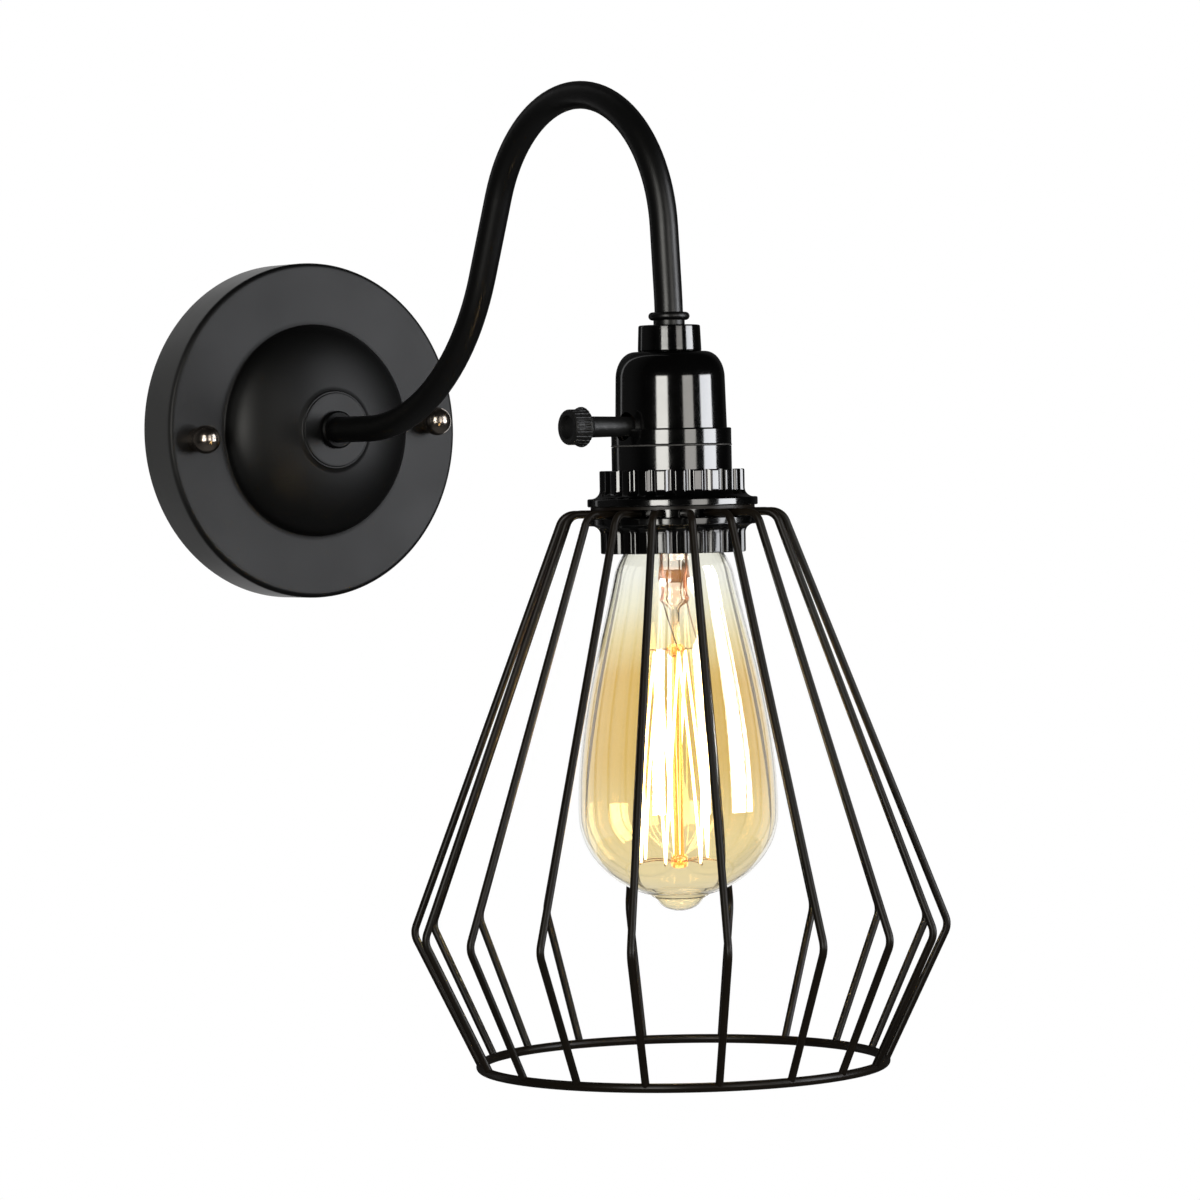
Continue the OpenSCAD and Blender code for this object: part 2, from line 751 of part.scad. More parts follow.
// Lower shell: a spigot inside the band, a bare stretch, and the thread for the shade rings
module socket_shell() {
    spigot_r = band_r - socket_t - fit;
    seat_z = core_foot - socket_t;
    color([0.05, 0.05, 0.055]) difference() {
        on_axis() rotate_extrude() polygon([
            [shell_bore_r, band_foot + spigot_h], [spigot_r, band_foot + spigot_h],
            [spigot_r, band_foot], [band_r, band_foot - fit], [band_r, rings_top],
            [shell_r, rings_top - 0.6], [shell_r, shell_foot + 0.4], [shell_r - 0.4, shell_foot],
            [shell_bore_r, shell_foot], [shell_bore_r, seat_z], [seat_r, seat_z],
            [seat_r, core_foot], [shell_bore_r, core_foot]]);
        knob_hole(knob_hole_r, band_d);
    }
}

module shell_liner() {
    color("tan") difference() {
        on_axis(core_foot) ring(shell_bore_r - fit / 2, core_r + fit / 2,
            band_foot + spigot_h - core_foot);
        knob_hole(knob_hole_r, band_d);
    }
}

// Moulded holder that carries the lamp's screw shell and centre contact
module socket_core() {
    ceiling_z = contact_z + free_gap + contact_leaf_t;
    color("snow") difference() {
        on_axis(core_foot) cylinder(h = core_top - core_foot, r = core_r);
        on_axis(core_foot - eps)
            cylinder(h = ceiling_z - core_foot + eps, r = screw_r + screw_t + fit);
        on_axis(core_foot) cylinder(h = core_top - core_foot + eps, r = rivet_r + fit / 2);
    }
}

module screw_shell() {
    flange_r = base_r * 0.68;
    ceiling_z = contact_z + free_gap + contact_leaf_t;
    color("gold") on_axis() {
        translate([0, 0, core_foot - 3]) ring(screw_r + screw_t, screw_r, ceiling_z - core_foot + 3);
        translate([0, 0, ceiling_z - screw_t]) ring(screw_r + eps, flange_r, screw_t);
    }
}

module centre_contact() {
    leaf_l = base_r;
    leaf_w = 5;
    color("gold") on_axis(contact_z + free_gap) {
        translate([-leaf_l / 2, -leaf_w / 2, 0]) cube([leaf_l, leaf_w, contact_leaf_t]);
        cylinder(h = core_top - contact_z - free_gap, r = rivet_r);
    }
}

// ---- switch --------------------------------------------------------------------------------

module switch_body() {
    color("saddlebrown") difference() {
        on_axis(core_top) cylinder(h = switch_top - core_top, r = switch_r);
        on_axis(knob_z) cube([switch_bay_l, switch_bay, switch_bay], center = true);
        on_axis(knob_z) rotate([0, -90, 0]) translate([0, 0, -switch_bay_l / 2 - pivot_l])
            cylinder(h = 2 * switch_r, d = spindle_d + 2 * running);
        on_axis() translate([-switch_r, switch_flat_y, core_top - eps])
            cube([2 * switch_r, switch_r, switch_top - core_top + 2 * eps]);
        for (side = [-1, 1]) on_axis() translate([side * post_x, 0, 0]) {
            translate([0, 0, post_z])
                cylinder(h = switch_top - post_z + eps, d = core_d + 2 * fit);
            translate([0, 0, post_z + core_d]) rotate([-90, 0, 0])
                cylinder(h = switch_r, d = post_d + fit);
        }
    }
}

// Screws that clamp the two wires in the switch body
module socket_screws() {
    color("gold") for (side = [-1, 1])
        on_axis(post_z + core_d) translate([side * post_x, switch_flat_y, 0]) rotate([-90, 0, 0])
            screw(4.6, 1.6, post_d, switch_flat_y - core_d / 2 - fit);
}

module switch_leaf() {
    leaf_w = switch_bay_l - 2;
    leaf_h = switch_bay - 2;
    color("gold") on_axis(knob_z) translate([-leaf_w / 2, switch_bay / 2 - leaf_t, -leaf_h / 2])
        cube([leaf_w, leaf_t, leaf_h]);
}

module switch_spindle() {
    color("silver") on_axis(knob_z) rotate([0, -90, 0])
        translate([0, 0, -switch_bay_l / 2 - pivot_l + free_gap])
            cylinder(h = spindle_end + switch_bay_l / 2 + pivot_l - free_gap, d = spindle_d);
}

module switch_cam() {
    color("ivory") on_axis(knob_z) rotate([0, -90, 0]) difference() {
        intersection() {
            cube([cam_w, cam_w, cam_l], center = true);
            cylinder(h = cam_l + 1, r = cam_w * 0.66, center = true);
        }
        cylinder(h = cam_l + 1, d = spindle_d, center = true);
    }
}

// Knob with a fluted head that flares at its back, a dished end and a slightly tapered stem
module switch_knob() {
    knob_r = knob_d / 2;
    tip_r = knob_r * 0.88;
    dish_r = tip_r * 0.6;
    dish_x = knob_reach - 1.6;
    head_x = knob_reach - knob_head_l;
    wide_x = head_x + 3.2;
    grooves = 24;
    groove_r = 0.5;
    color([0.09, 0.09, 0.095]) on_axis(knob_z) rotate([0, -90, 0]) difference() {
        rotate_extrude() polygon(concat(
            [[spindle_d / 2, stem_end_x], [stem_d / 2 - 0.25, stem_end_x],
                [stem_d / 2, head_x], [knob_r - 0.5, wide_x - 0.7]],
            arc(knob_r - 0.5, wide_x - 0.1, 0.5, 0.6, -45, 60, 3),
            curve([knob_r - 0.3, wide_x + 0.5], [knob_r - 0.6, wide_x + 1.2],
                [tip_r + 0.1, wide_x + 1.6], [tip_r, wide_x + knob_flare_l], 4),
            arc(tip_r - 0.9, knob_reach - 0.9, 0.9, 0.9, 0, 90, 4),
            [[dish_r + 0.4, knob_reach], [dish_r, dish_x], [0, dish_x], [0, spindle_end],
                [spindle_d / 2, spindle_end]]));
        for (i = [0:grooves - 1]) rotate(i * 360 / grooves)
            translate([tip_r + groove_r * 0.6, 0, wide_x - 1])
                cylinder(h = knob_head_l, r = groove_r, $fn = 24);
    }
}

// ---- shade rings ---------------------------------------------------------------------------

// Threaded ring with a fluted skirt, drawn flange down from z = 0
module shade_ring() {
    skirt_r = skirt_d / 2;
    flange_r = flange_d / 2;
    flare_h = 2.9;
    edge = 0.4;
    difference() {
        rotate_extrude() polygon(concat(
            [[shell_r + fit, 0], [flange_r - edge, 0], [flange_r, edge],
                [flange_r, flange_t - edge], [flange_r - edge, flange_t]],
            arc(skirt_r + flare_h, flange_t + flare_h, flare_h - 0.1, flare_h, 270, 180, 6),
            [[skirt_r, ring_h - edge], [skirt_r - edge, ring_h], [shell_r + fit, ring_h]]));
        for (i = [0:flutes - 1]) rotate(i * 360 / flutes)
            translate([skirt_r + flute_r * 0.55, 0, flange_t + flare_h * 0.55])
                cylinder(h = ring_h, r = flute_r, $fn = 32);
    }
}

module upper_shade_ring() {
    color([0.05, 0.05, 0.055]) on_axis(upper_foot) shade_ring();
}

module lower_shade_ring() {
    color([0.05, 0.05, 0.055]) on_axis(lower_top) rotate([180, 0, 0]) shade_ring();
}

// ---- cage ----------------------------------------------------------------------------------

module cage_hub() {
    color([0.08, 0.08, 0.08]) on_axis(hub_foot) ring(hub_r, shell_r + 0.6, hub_t);
}

module cage_mouth_ring() {
    color([0.08, 0.08, 0.08]) on_axis(wire_z - knee_drop - mouth_drop)
        rotate_extrude() translate([mouth_r, 0]) circle(d = mouth_d, $fn = 32);
}

// One wire in the plane of +X: out along the hub, down to the knee, and in to the mouth ring
module cage_wire() {
    out_a = atan((knee_r - shoulder_r) / knee_drop);
    in_a = atan((knee_r - mouth_r) / mouth_drop);
    shoulder_cut = shoulder_bend * tan((90 - out_a) / 2);
    knee_cut = knee_bend * tan((out_a + in_a) / 2);
    side_l = norm([knee_r - shoulder_r, knee_drop]);
    foot_l = norm([knee_r - mouth_r, mouth_drop]);
    r = wire_d / 2;
    rotate([0, 90, 0]) translate([0, 0, wire_start_r])
        run(shoulder_r - wire_start_r - shoulder_cut, r) bend(shoulder_bend, 90 - out_a, r)
            run(side_l - shoulder_cut - knee_cut, r) bend(knee_bend, out_a + in_a, r)
                run(foot_l - knee_cut, r);
}

module cage_wires() {
    $fn = 24;
    color([0.08, 0.08, 0.08]) difference() {
        for (i = [0:wires - 1]) on_axis(wire_z)
            rotate(cage_turn + i * 360 / wires + unevenness * wire_offs[i]) cage_wire();
        cage_mouth_ring();
    }
}

// ---- lamp ----------------------------------------------------------------------------------

// Outline of the glass at a depth of t below its outside, from the neck down to the tip
function bulb_outline(t) = let (
    neck_r = base_r - 0.7,
    bowl = belly_z - tip_z - bowl_lift,
    bowl_end = acos((nub_r + nub_fillet) / bulb_r)) concat(
    [[neck_r - t, rim_z + glass_lip]],
    curve([neck_r - t, rim_z - 0.3], [neck_r + 0.6 - t, rim_z - throat_drop / 2],
        [throat_r - t, rim_z - throat_drop], [cone_r - t, rim_z - cone_drop], 5),
    curve([flank_r - t, rim_z - flank_drop], [swell_r - t, rim_z - swell_drop],
        [bulb_r - t, rim_z - belly_drop], [bulb_r - t, belly_z], 12),
    arc(0, belly_z, bulb_r - t, bowl - t, -8, -bowl_end, 9),
    arc(0, tip_z + nub_h, nub_r - t, nub_h - t, -15, -90, 6));

module bulb_glass() {
    color([0.93, 0.78, 0.45, 0.5]) on_axis() rotate_extrude()
        polygon(concat(bulb_outline(0), reversed(bulb_outline(glass_t))));
}

module bulb_base() {
    sheet = 0.4;
    top_z = contact_z - contact_h - insulator_h;
    color("gold") on_axis() rotate_extrude() polygon([
        [insulator_foot_r, top_z], [base_r - 1, top_z], [base_r, top_z - 1.5], [base_r, rim_z],
        [base_r - sheet, rim_z], [base_r - sheet, top_z - 1.7], [base_r - 1.2, top_z - sheet],
        [insulator_foot_r, top_z - sheet]]);
}

module base_insulator() {
    color([0.06, 0.05, 0.05]) on_axis() rotate_extrude() polygon([
        [0, contact_z - contact_h], [contact_r, contact_z - contact_h],
        [insulator_foot_r + 0.8, contact_z - contact_h - insulator_h],
        [insulator_foot_r, contact_z - contact_h - insulator_h],
        [insulator_foot_r, contact_z - contact_h - insulator_h - 0.6],
        [0, contact_z - contact_h - insulator_h - 0.6]]);
}

module bulb_contact() {
    color("silver") on_axis(contact_z - contact_h) rotate_extrude() polygon(concat(
        [[0, 0], [contact_r, 0]], arc(contact_r - 1.2, contact_h - 1.2, 1.2, 1.2, 0, 90, 4),
        [[0, contact_h]]));
}

// Glass mount of the filament: a flare sealed to the neck, a pinched tube and a rod
module glass_stem() {
    flare_r = base_r - 0.7 - glass_t - fit / 2;
    tube_r = 4.8;
    color([0.85, 0.92, 0.92, 0.6]) on_axis() rotate_extrude() polygon(concat(
        [[0, rim_z + 3.2], [tube_r - 1, rim_z + 3.2], [flare_r, rim_z + 6.6], [flare_r, rim_z + 5.6]],
        curve([tube_r + 2, rim_z + 2.6], [tube_r, rim_z + 1], [tube_r, rim_z - 2],
            [tube_r, pinch_z + 8], 3),
        [[tube_r - 1.3, pinch_z + 5], [tube_r - 0.4, pinch_z + 2], [tube_r - 1.8, pinch_z],
            [stem_rod_r, pinch_z - 2], [stem_rod_r, hook_foot_z - 1], [0, hook_foot_z - 2]]));
}

// A thin wire between two points of the lamp
module fine_wire(from, to, d) {
    way = to - from;
    turn = atan2(way[1], way[0]);
    lean = acos(way[2] / norm(way));
    translate(from) rotate([0, lean, turn]) cylinder(h = norm(way), d = d, $fn = 8);
}

function hook(r, a, z) = [r * cos(a), r * sin(a), z];

module lead_wires() {
    color("gray") on_axis() for (side = [-1, 1])
        fine_wire([side * 3.6, 0, pinch_z + 0.8], hook(hook_top_r - 0.6, 90 - side * 90, hook_top_z),
            0.6);
}

// Beads on the rod with the fine hooks that spread the filament
module filament_hooks() {
    bead_h = 2.6;
    bead_r_out = 2.6;
    color("silver") on_axis() {
        for (z = [hook_top_z, hook_foot_z]) translate([0, 0, z - bead_h / 2])
            ring(bead_r_out, stem_rod_r + fit / 2, bead_h);
        for (i = [1:strands / 2 - 1]) let (a = i * 720 / strands)
            fine_wire(hook(bead_r_out - 0.3, a, hook_top_z), hook(hook_top_r - 0.3, a, hook_top_z),
                0.4);
        for (i = [0:strands / 2 - 1]) let (a = (i + 0.5) * 720 / strands)
            fine_wire(hook(bead_r_out - 0.3, a, hook_foot_z), hook(hook_foot_r - 0.3, a, hook_foot_z),
                0.4);
    }
}

// Filament strung up and down between the two sets of hooks
module filament() {
    color("orange") on_axis() for (i = [0:strands - 1]) let (
        a = i * 360 / strands, b = (i + 1) * 360 / strands, down = i % 2 == 0)
        fine_wire(hook(down ? hook_top_r : hook_foot_r, a, down ? hook_top_z : hook_foot_z),
            hook(down ? hook_foot_r : hook_top_r, b, down ? hook_foot_z : hook_top_z), strand_d);
}

canopy();
mounting_bracket();
canopy_studs();
stud_lock_nuts();
ball_nuts();
terminal_block();
terminal_inserts();
terminal_screws();
block_screw();
earth_screw();
earth_lug();
earth_wire();
live_wire();
neutral_wire();
arm_tube();
arm_collar();
arm_washer();
arm_lock_nut();
cable_bush();
arm_end_ring();
neck_collar();
grub_screw();
socket_nut();
socket_cap();
socket_shell();
shell_liner();
socket_core();
screw_shell();
centre_contact();
socket_screws();
switch_body();
switch_leaf();
switch_spindle();
switch_cam();
switch_knob();
upper_shade_ring();
lower_shade_ring();
cage_hub();
cage_wires();
cage_mouth_ring();
bulb_base();
base_insulator();
bulb_contact();
bulb_glass();
glass_stem();
lead_wires();
filament_hooks();
filament();
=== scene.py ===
"""Cage wall light: looks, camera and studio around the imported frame. Sizes are in millimetres
where they repeat part.scad, and become metres when a mesh is made."""

import math

import bpy
import numpy as np
from mathutils import Matrix, Vector


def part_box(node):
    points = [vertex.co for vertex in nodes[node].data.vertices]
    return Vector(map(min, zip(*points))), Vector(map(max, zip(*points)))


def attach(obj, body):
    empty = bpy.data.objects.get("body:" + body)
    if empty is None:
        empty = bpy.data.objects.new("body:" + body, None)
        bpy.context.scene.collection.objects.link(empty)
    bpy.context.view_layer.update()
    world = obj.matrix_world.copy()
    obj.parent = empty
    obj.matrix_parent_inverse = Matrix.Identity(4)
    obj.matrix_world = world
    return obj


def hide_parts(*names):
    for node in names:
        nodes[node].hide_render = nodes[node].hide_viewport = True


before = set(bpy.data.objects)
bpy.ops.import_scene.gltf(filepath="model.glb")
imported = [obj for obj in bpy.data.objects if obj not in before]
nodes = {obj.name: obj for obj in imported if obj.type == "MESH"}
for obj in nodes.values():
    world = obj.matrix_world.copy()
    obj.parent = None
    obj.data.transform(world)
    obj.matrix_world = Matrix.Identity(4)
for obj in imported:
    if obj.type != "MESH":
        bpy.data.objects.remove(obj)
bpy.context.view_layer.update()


MM = 0.001
UP = Vector((0, 0, 1))

# ---- sizes, in millimetres and degrees -------------------------------------------------------
# Read from the frame
AXIS_Y = -(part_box("cage_mouth_ring")[0].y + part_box("cage_mouth_ring")[1].y) / 2 / MM
RIM_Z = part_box("bulb_base")[0].z / MM
CONTACT_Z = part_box("bulb_contact")[1].z / MM
TIP_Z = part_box("bulb_glass")[0].z / MM
BULB_R = (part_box("bulb_glass")[1].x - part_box("bulb_glass")[0].x) / 2 / MM
# As in part.scad
BELLY_Z = TIP_Z + 32
BASE_R = 13.0
HOOK_TOP_Z = TIP_Z + 84
HOOK_FOOT_Z = TIP_Z + 16
PINCH_Z = TIP_Z + 99
HOOK_TOP_R = 9.5
HOOK_FOOT_R = 13.0
ROD_R = 1.6
STRANDS = 14
# Turn of the first hook about the lamp's axis
PHASE = -17.1
# Heights between which the coat of the lamp changes colour
COAT_TOP_Z, COAT_FOOT_Z = -40, -160

# ---- node materials --------------------------------------------------------------------------


class Graph:
    """Node tree of a material or world, with short calls for the few nodes used here."""

    def __init__(self, name, world=False):
        self.owner = (bpy.data.worlds if world else bpy.data.materials).new(name)
        self.owner.use_nodes = True
        self.tree = self.owner.node_tree
        self.tree.nodes.clear()
        self.out = self.node("ShaderNodeOutputWorld" if world else "ShaderNodeOutputMaterial")
        self.coord = self.node("ShaderNodeTexCoord").outputs["Generated" if world else "Object"]

    def node(self, kind, **settings):
        """A new node with some of its properties set."""
        made = self.tree.nodes.new(kind)
        for key, value in settings.items():
            setattr(made, key, value)
        return made

    def feed(self, socket, value):
        """Links or sets a socket. A colour is given without its alpha."""
        if isinstance(value, bpy.types.NodeSocket):
            self.tree.links.new(value, socket)
        else:
            socket.default_value = (*value, 1) if socket.type == "RGBA" else value

    def parts(self, vector):
        """The x, y and z of a vector."""
        made = self.node("ShaderNodeSeparateXYZ")
        self.feed(made.inputs[0], vector)
        return made.outputs[:3]

    def math(self, kind, *values, clamp=False):
        """The outcome of a sum on numbers or sockets."""
        made = self.node("ShaderNodeMath", operation=kind, use_clamp=clamp)
        for socket, value in zip(made.inputs, values):
            self.feed(socket, value)
        return made.outputs[0]

    def stretch(self, scale):
        """The coordinates, scaled by a factor for each axis."""
        made = self.node("ShaderNodeMapping")
        self.feed(made.inputs["Vector"], self.coord)
        made.inputs["Scale"].default_value = scale
        return made.outputs[0]

    def noise(self, scale, detail=3.0, where=None):
        """Noise from 0 to 1, mostly near 0.5."""
        made = self.node("ShaderNodeTexNoise")
        self.feed(made.inputs["Vector"], where or self.coord)
        made.inputs["Scale"].default_value = scale
        made.inputs["Detail"].default_value = detail
        return made.outputs["Fac"]

    def ramp(self, fac, *stops):
        """A colour that changes over stops of (place, colour)."""
        made = self.node("ShaderNodeValToRGB")
        self.feed(made.inputs[0], fac)
        steps = made.color_ramp.elements
        while len(steps) < len(stops):
            steps.new(0.5)
        for step, (at, colour) in zip(steps, stops):
            step.position = at
            step.color = (*colour, 1)
        return made.outputs[0]

    def between(self, fac, low, high, from_low=0.3, from_high=0.7):
        """Goes from low to high, and stays there, as fac goes from from_low to from_high."""
        made = self.node("ShaderNodeMapRange")
        for key, value in (("Value", fac), ("From Min", from_low), ("From Max", from_high),
                           ("To Min", low), ("To Max", high)):
            self.feed(made.inputs[key], value)
        return made.outputs[0]

    def mix(self, fac, a, b, blend="MIX"):
        """Two colours mixed by a share or another blend."""
        made = self.node("ShaderNodeMix", data_type="RGBA", blend_type=blend)
        for key, value in (("Factor", fac), (6, a), (7, b)):
            self.feed(made.inputs[key], value)
        return made.outputs[2]

    def bump(self, height, strength, depth):
        """A normal that follows a height, depth metres deep."""
        made = self.node("ShaderNodeBump")
        self.feed(made.inputs["Height"], height)
        made.inputs["Strength"].default_value = strength
        made.inputs["Distance"].default_value = depth
        return made.outputs[0]

    def surface(self, colour, rough, normal=None, **constants):
        """Ends the graph in a surface shader, with its other inputs by name, and gives the
        material."""
        made = self.node("ShaderNodeBsdfPrincipled")
        self.feed(made.inputs["Base Color"], colour)
        self.feed(made.inputs["Roughness"], rough)
        if normal is not None:
            self.feed(made.inputs["Normal"], normal)
        for key, value in constants.items():
            self.feed(made.inputs[key.replace("_", " ")], value)
        self.feed(self.out.inputs["Surface"], made.outputs[0])
        return self.owner


def tinted(colour, factor):
    """A colour made lighter or darker by a factor."""
    return tuple(min(1.0, part * factor) for part in colour)


MATERIALS = {}


def finish(name, colour, rough, vary, patch, grain, depth, strength, rough_vary=0.06,
           scale=(1, 1, 1), **constants):
    """Adds a painted, plated or moulded finish to the materials: patchy colour, uneven gloss and
    a fine grain. vary and rough_vary say how much colour and roughness vary. patch and grain are
    noise scales, and depth is the grain's depth in metres."""
    g = Graph(name)
    where = g.stretch(scale)
    patches = g.noise(patch, 4.0, where)
    fine = g.noise(grain, 2.0, where)
    shade = g.mix(g.between(patches, 0.0, 1.0), tinted(colour, 1 - vary), tinted(colour, 1 + vary))
    speck = tinted(colour, 1 - 1.5 * vary)
    shade = g.mix(g.between(fine, 0.0, 0.35), shade, speck)
    gloss = g.between(g.noise(patch * 3, 3.0, where), rough - rough_vary, rough + rough_vary)
    MATERIALS[name] = g.surface(shade, gloss, g.bump(fine, strength, depth), **constants)


finish("canopy_paint", (0.002, 0.002, 0.002), 0.43, 0.12, 14, 1800, 0.00002, 0.35, 0.02,
       IOR=1.45, Specular_IOR_Level=0.41)
finish("arm_paint", (0.002, 0.002, 0.002), 0.34, 0.2, 20, 1600, 0.00002, 0.35, 0.03, IOR=1.45,
       Specular_IOR_Level=0.7)
finish("collar_paint", (0.002, 0.002, 0.002), 0.4, 0.2, 20, 1600, 0.00002, 0.35, 0.03, IOR=1.45,
       Specular_IOR_Level=0.12)
finish("cage_paint", (0.0095, 0.0068, 0.0042), 0.34, 0.25, 40, 1700, 0.00002, 0.35, 0.04,
       IOR=1.45, Specular_IOR_Level=0.35)
finish("pearl_black", (0.001, 0.001, 0.001), 0.11, 0.3, 120, 2600, 0.000004, 0.25, 0.015,
       IOR=1.95)
finish("ring_black", (0.001, 0.001, 0.001), 0.14, 0.3, 120, 2600, 0.000004, 0.25, 0.015, IOR=1.7)
# Lighter grey for the cap's rolled lip: a painted highlight along the lip
finish("painted_lip_highlight", (0.065, 0.063, 0.06), 0.3, 0.5, 260, 2600, 0.00001, 0.4, 0.06, IOR=1.6)
finish("black_nickel", (0.6, 0.52, 0.45), 0.21, 0.2, 90, 2000, 0.00001, 0.3, 0.05, Metallic=1.0)
finish("knob_plastic", (0.008, 0.008, 0.008), 0.42, 0.2, 150, 2200, 0.00003, 0.5, 0.06, IOR=1.46)
finish("zinc_steel", (0.62, 0.64, 0.66), 0.34, 0.15, 120, 900, 0.00002, 0.4, 0.08, (1, 1, 6),
       Metallic=1.0)
finish("dark_steel", (0.06, 0.06, 0.062), 0.35, 0.2, 200, 2500, 0.00001, 0.4, 0.08, Metallic=1.0)
finish("brass", (0.78, 0.56, 0.24), 0.26, 0.15, 150, 1500, 0.00001, 0.3, 0.08, Metallic=1.0)
finish("tinned_copper", (0.72, 0.7, 0.67), 0.3, 0.12, 200, 2000, 0.00001, 0.3, 0.08, Metallic=1.0)
finish("ivory_plastic", (0.78, 0.74, 0.62), 0.42, 0.06, 60, 1800, 0.00001, 0.4, 0.05)
finish("brown_phenolic", (0.035, 0.018, 0.01), 0.3, 0.25, 90, 900, 0.00001, 0.3, 0.06)
finish("porcelain", (0.86, 0.85, 0.8), 0.16, 0.04, 50, 700, 0.00001, 0.2, 0.04, Coat_Weight=0.6)
finish("liner_card", (0.05, 0.04, 0.032), 0.8, 0.2, 150, 1200, 0.00004, 0.6, 0.06)
finish("wire_live", (0.16, 0.06, 0.025), 0.4, 0.1, 200, 2500, 0.00001, 0.3)
finish("wire_neutral", (0.03, 0.11, 0.42), 0.4, 0.1, 200, 2500, 0.00001, 0.3)
finish("nickel_base", (0.66, 0.6, 0.48), 0.24, 0.15, 120, 1400, 0.00001, 0.3, 0.06, Metallic=1.0)
finish("black_glass", (0.01, 0.008, 0.008), 0.08, 0.3, 100, 900, 0.00001, 0.2, 0.03)
finish("solder", (0.62, 0.62, 0.6), 0.36, 0.15, 300, 900, 0.00006, 0.5, 0.1, Metallic=1.0)
finish("red_copper", (0.72, 0.3, 0.17), 0.35, 0.2, 300, 2500, 0.00001, 0.3, 0.08, Metallic=1.0)
finish("lead_metal", (0.3, 0.19, 0.12), 0.34, 0.2, 300, 2500, 0.00001, 0.3, 0.08, Metallic=1.0)


def striped_wire():
    """Green insulation with the yellow stripe of an earth wire, by height and side."""
    g = Graph("wire_earth")
    x, _, z = g.parts(g.stretch((900, 900, 200)))
    wave = g.math("SINE", g.math("ADD", x, z))
    band = g.ramp(g.between(wave, 0, 1, -0.1, 0.1), (0.0, (0.04, 0.3, 0.05)),
                  (1.0, (0.75, 0.62, 0.03)))
    return g.surface(band, g.between(g.noise(300), 0.36, 0.46),
                     g.bump(g.noise(2500), 0.3, 0.00001))


MATERIALS["wire_earth"] = striped_wire()


def height(g, low, high):
    """0 to 1 between two heights, in millimetres."""
    return g.between(g.parts(g.coord)[2], 0.0, 1.0, low * MM, high * MM)


def amber_coat():
    """Inner face of the glass: a gold coat that fades out toward the neck. Seen along the surface
    it is painted pale, with a painted dark line at the very edge: painted light and shade that
    stand in for the light that the rim of the glass bends and reflects."""
    g = Graph("amber_coat")
    level = height(g, COAT_TOP_Z, COAT_FOOT_Z)
    cloud = g.between(g.noise(22, 2.0, g.stretch((1, 1, 0.35))), -0.03, 0.03)
    tint = g.ramp(g.math("ADD", level, cloud),
                  (0.1, (0.93, 0.94, 0.88)), (0.18, (0.92, 0.9, 0.72)),
                  (0.27, (0.87, 0.73, 0.39)), (0.37, (0.77, 0.52, 0.155)),
                  (0.6, (0.78, 0.54, 0.17)), (0.8, (0.89, 0.72, 0.36)), (1.0, (0.92, 0.82, 0.54)))
    # Painted light and shade: where the coat is seen along its surface it is painted paler, and a
    # dark line is painted at its very edge
    facing = g.node("ShaderNodeLayerWeight")
    facing.inputs["Blend"].default_value = 0.5
    tint = g.mix(g.between(facing.outputs["Facing"], 0.0, 0.5, 0.5, 0.75), tint, (1.0, 0.95, 0.8))
    edge = g.ramp(facing.outputs["Facing"], (0.86, (1, 1, 1)), (0.96, (0.3, 0.27, 0.22)))
    return g.surface(g.mix(1.0, tint, edge, "MULTIPLY"), 0.0, Transmission_Weight=1.0, IOR=1.5)


def outer_glass():
    """Clear outer face of the lamp. Its rim is painted a little amber below the neck, a painted
    colour that stands in for the coat behind it showing through the edge of the glass."""
    g = Graph("outer_glass")
    streak = g.noise(90, 2.0, g.stretch((1, 1, 0.2)))
    shade = g.mix(g.between(streak, 0.0, 1.0), (0.975, 0.965, 0.92), (0.96, 0.95, 0.9))
    rim = g.ramp(height(g, COAT_TOP_Z, COAT_FOOT_Z), (0.2, (0.95, 0.95, 0.93)),
                 (0.5, (0.93, 0.87, 0.72)))
    # Painted light: where the face is seen edge-on it takes the painted amber rim colour
    facing = g.node("ShaderNodeLayerWeight")
    facing.inputs["Blend"].default_value = 0.5
    shade = g.mix(g.between(facing.outputs["Facing"], 0.0, 1.0, 0.6, 0.76), shade, rim)
    return g.surface(shade, 0.0, Transmission_Weight=1.0, IOR=1.5)


def glow(name, colour, strength):
    """Hot filament: brighter in its middle reach than at the hooks."""
    g = Graph(name)
    level = height(g, HOOK_FOOT_Z, HOOK_TOP_Z)
    heat = g.ramp(level, (0.0, (0.35,) * 3), (0.12, (1.0,) * 3), (0.85, (1.0,) * 3),
                  (1.0, (0.35,) * 3))
    wave = g.between(g.noise(400, 2.0), 0.85, 1.15)
    power = g.math("MULTIPLY", g.math("MULTIPLY", heat, wave), strength)
    return g.surface(colour, 0.5, Emission_Color=colour, Emission_Strength=power)


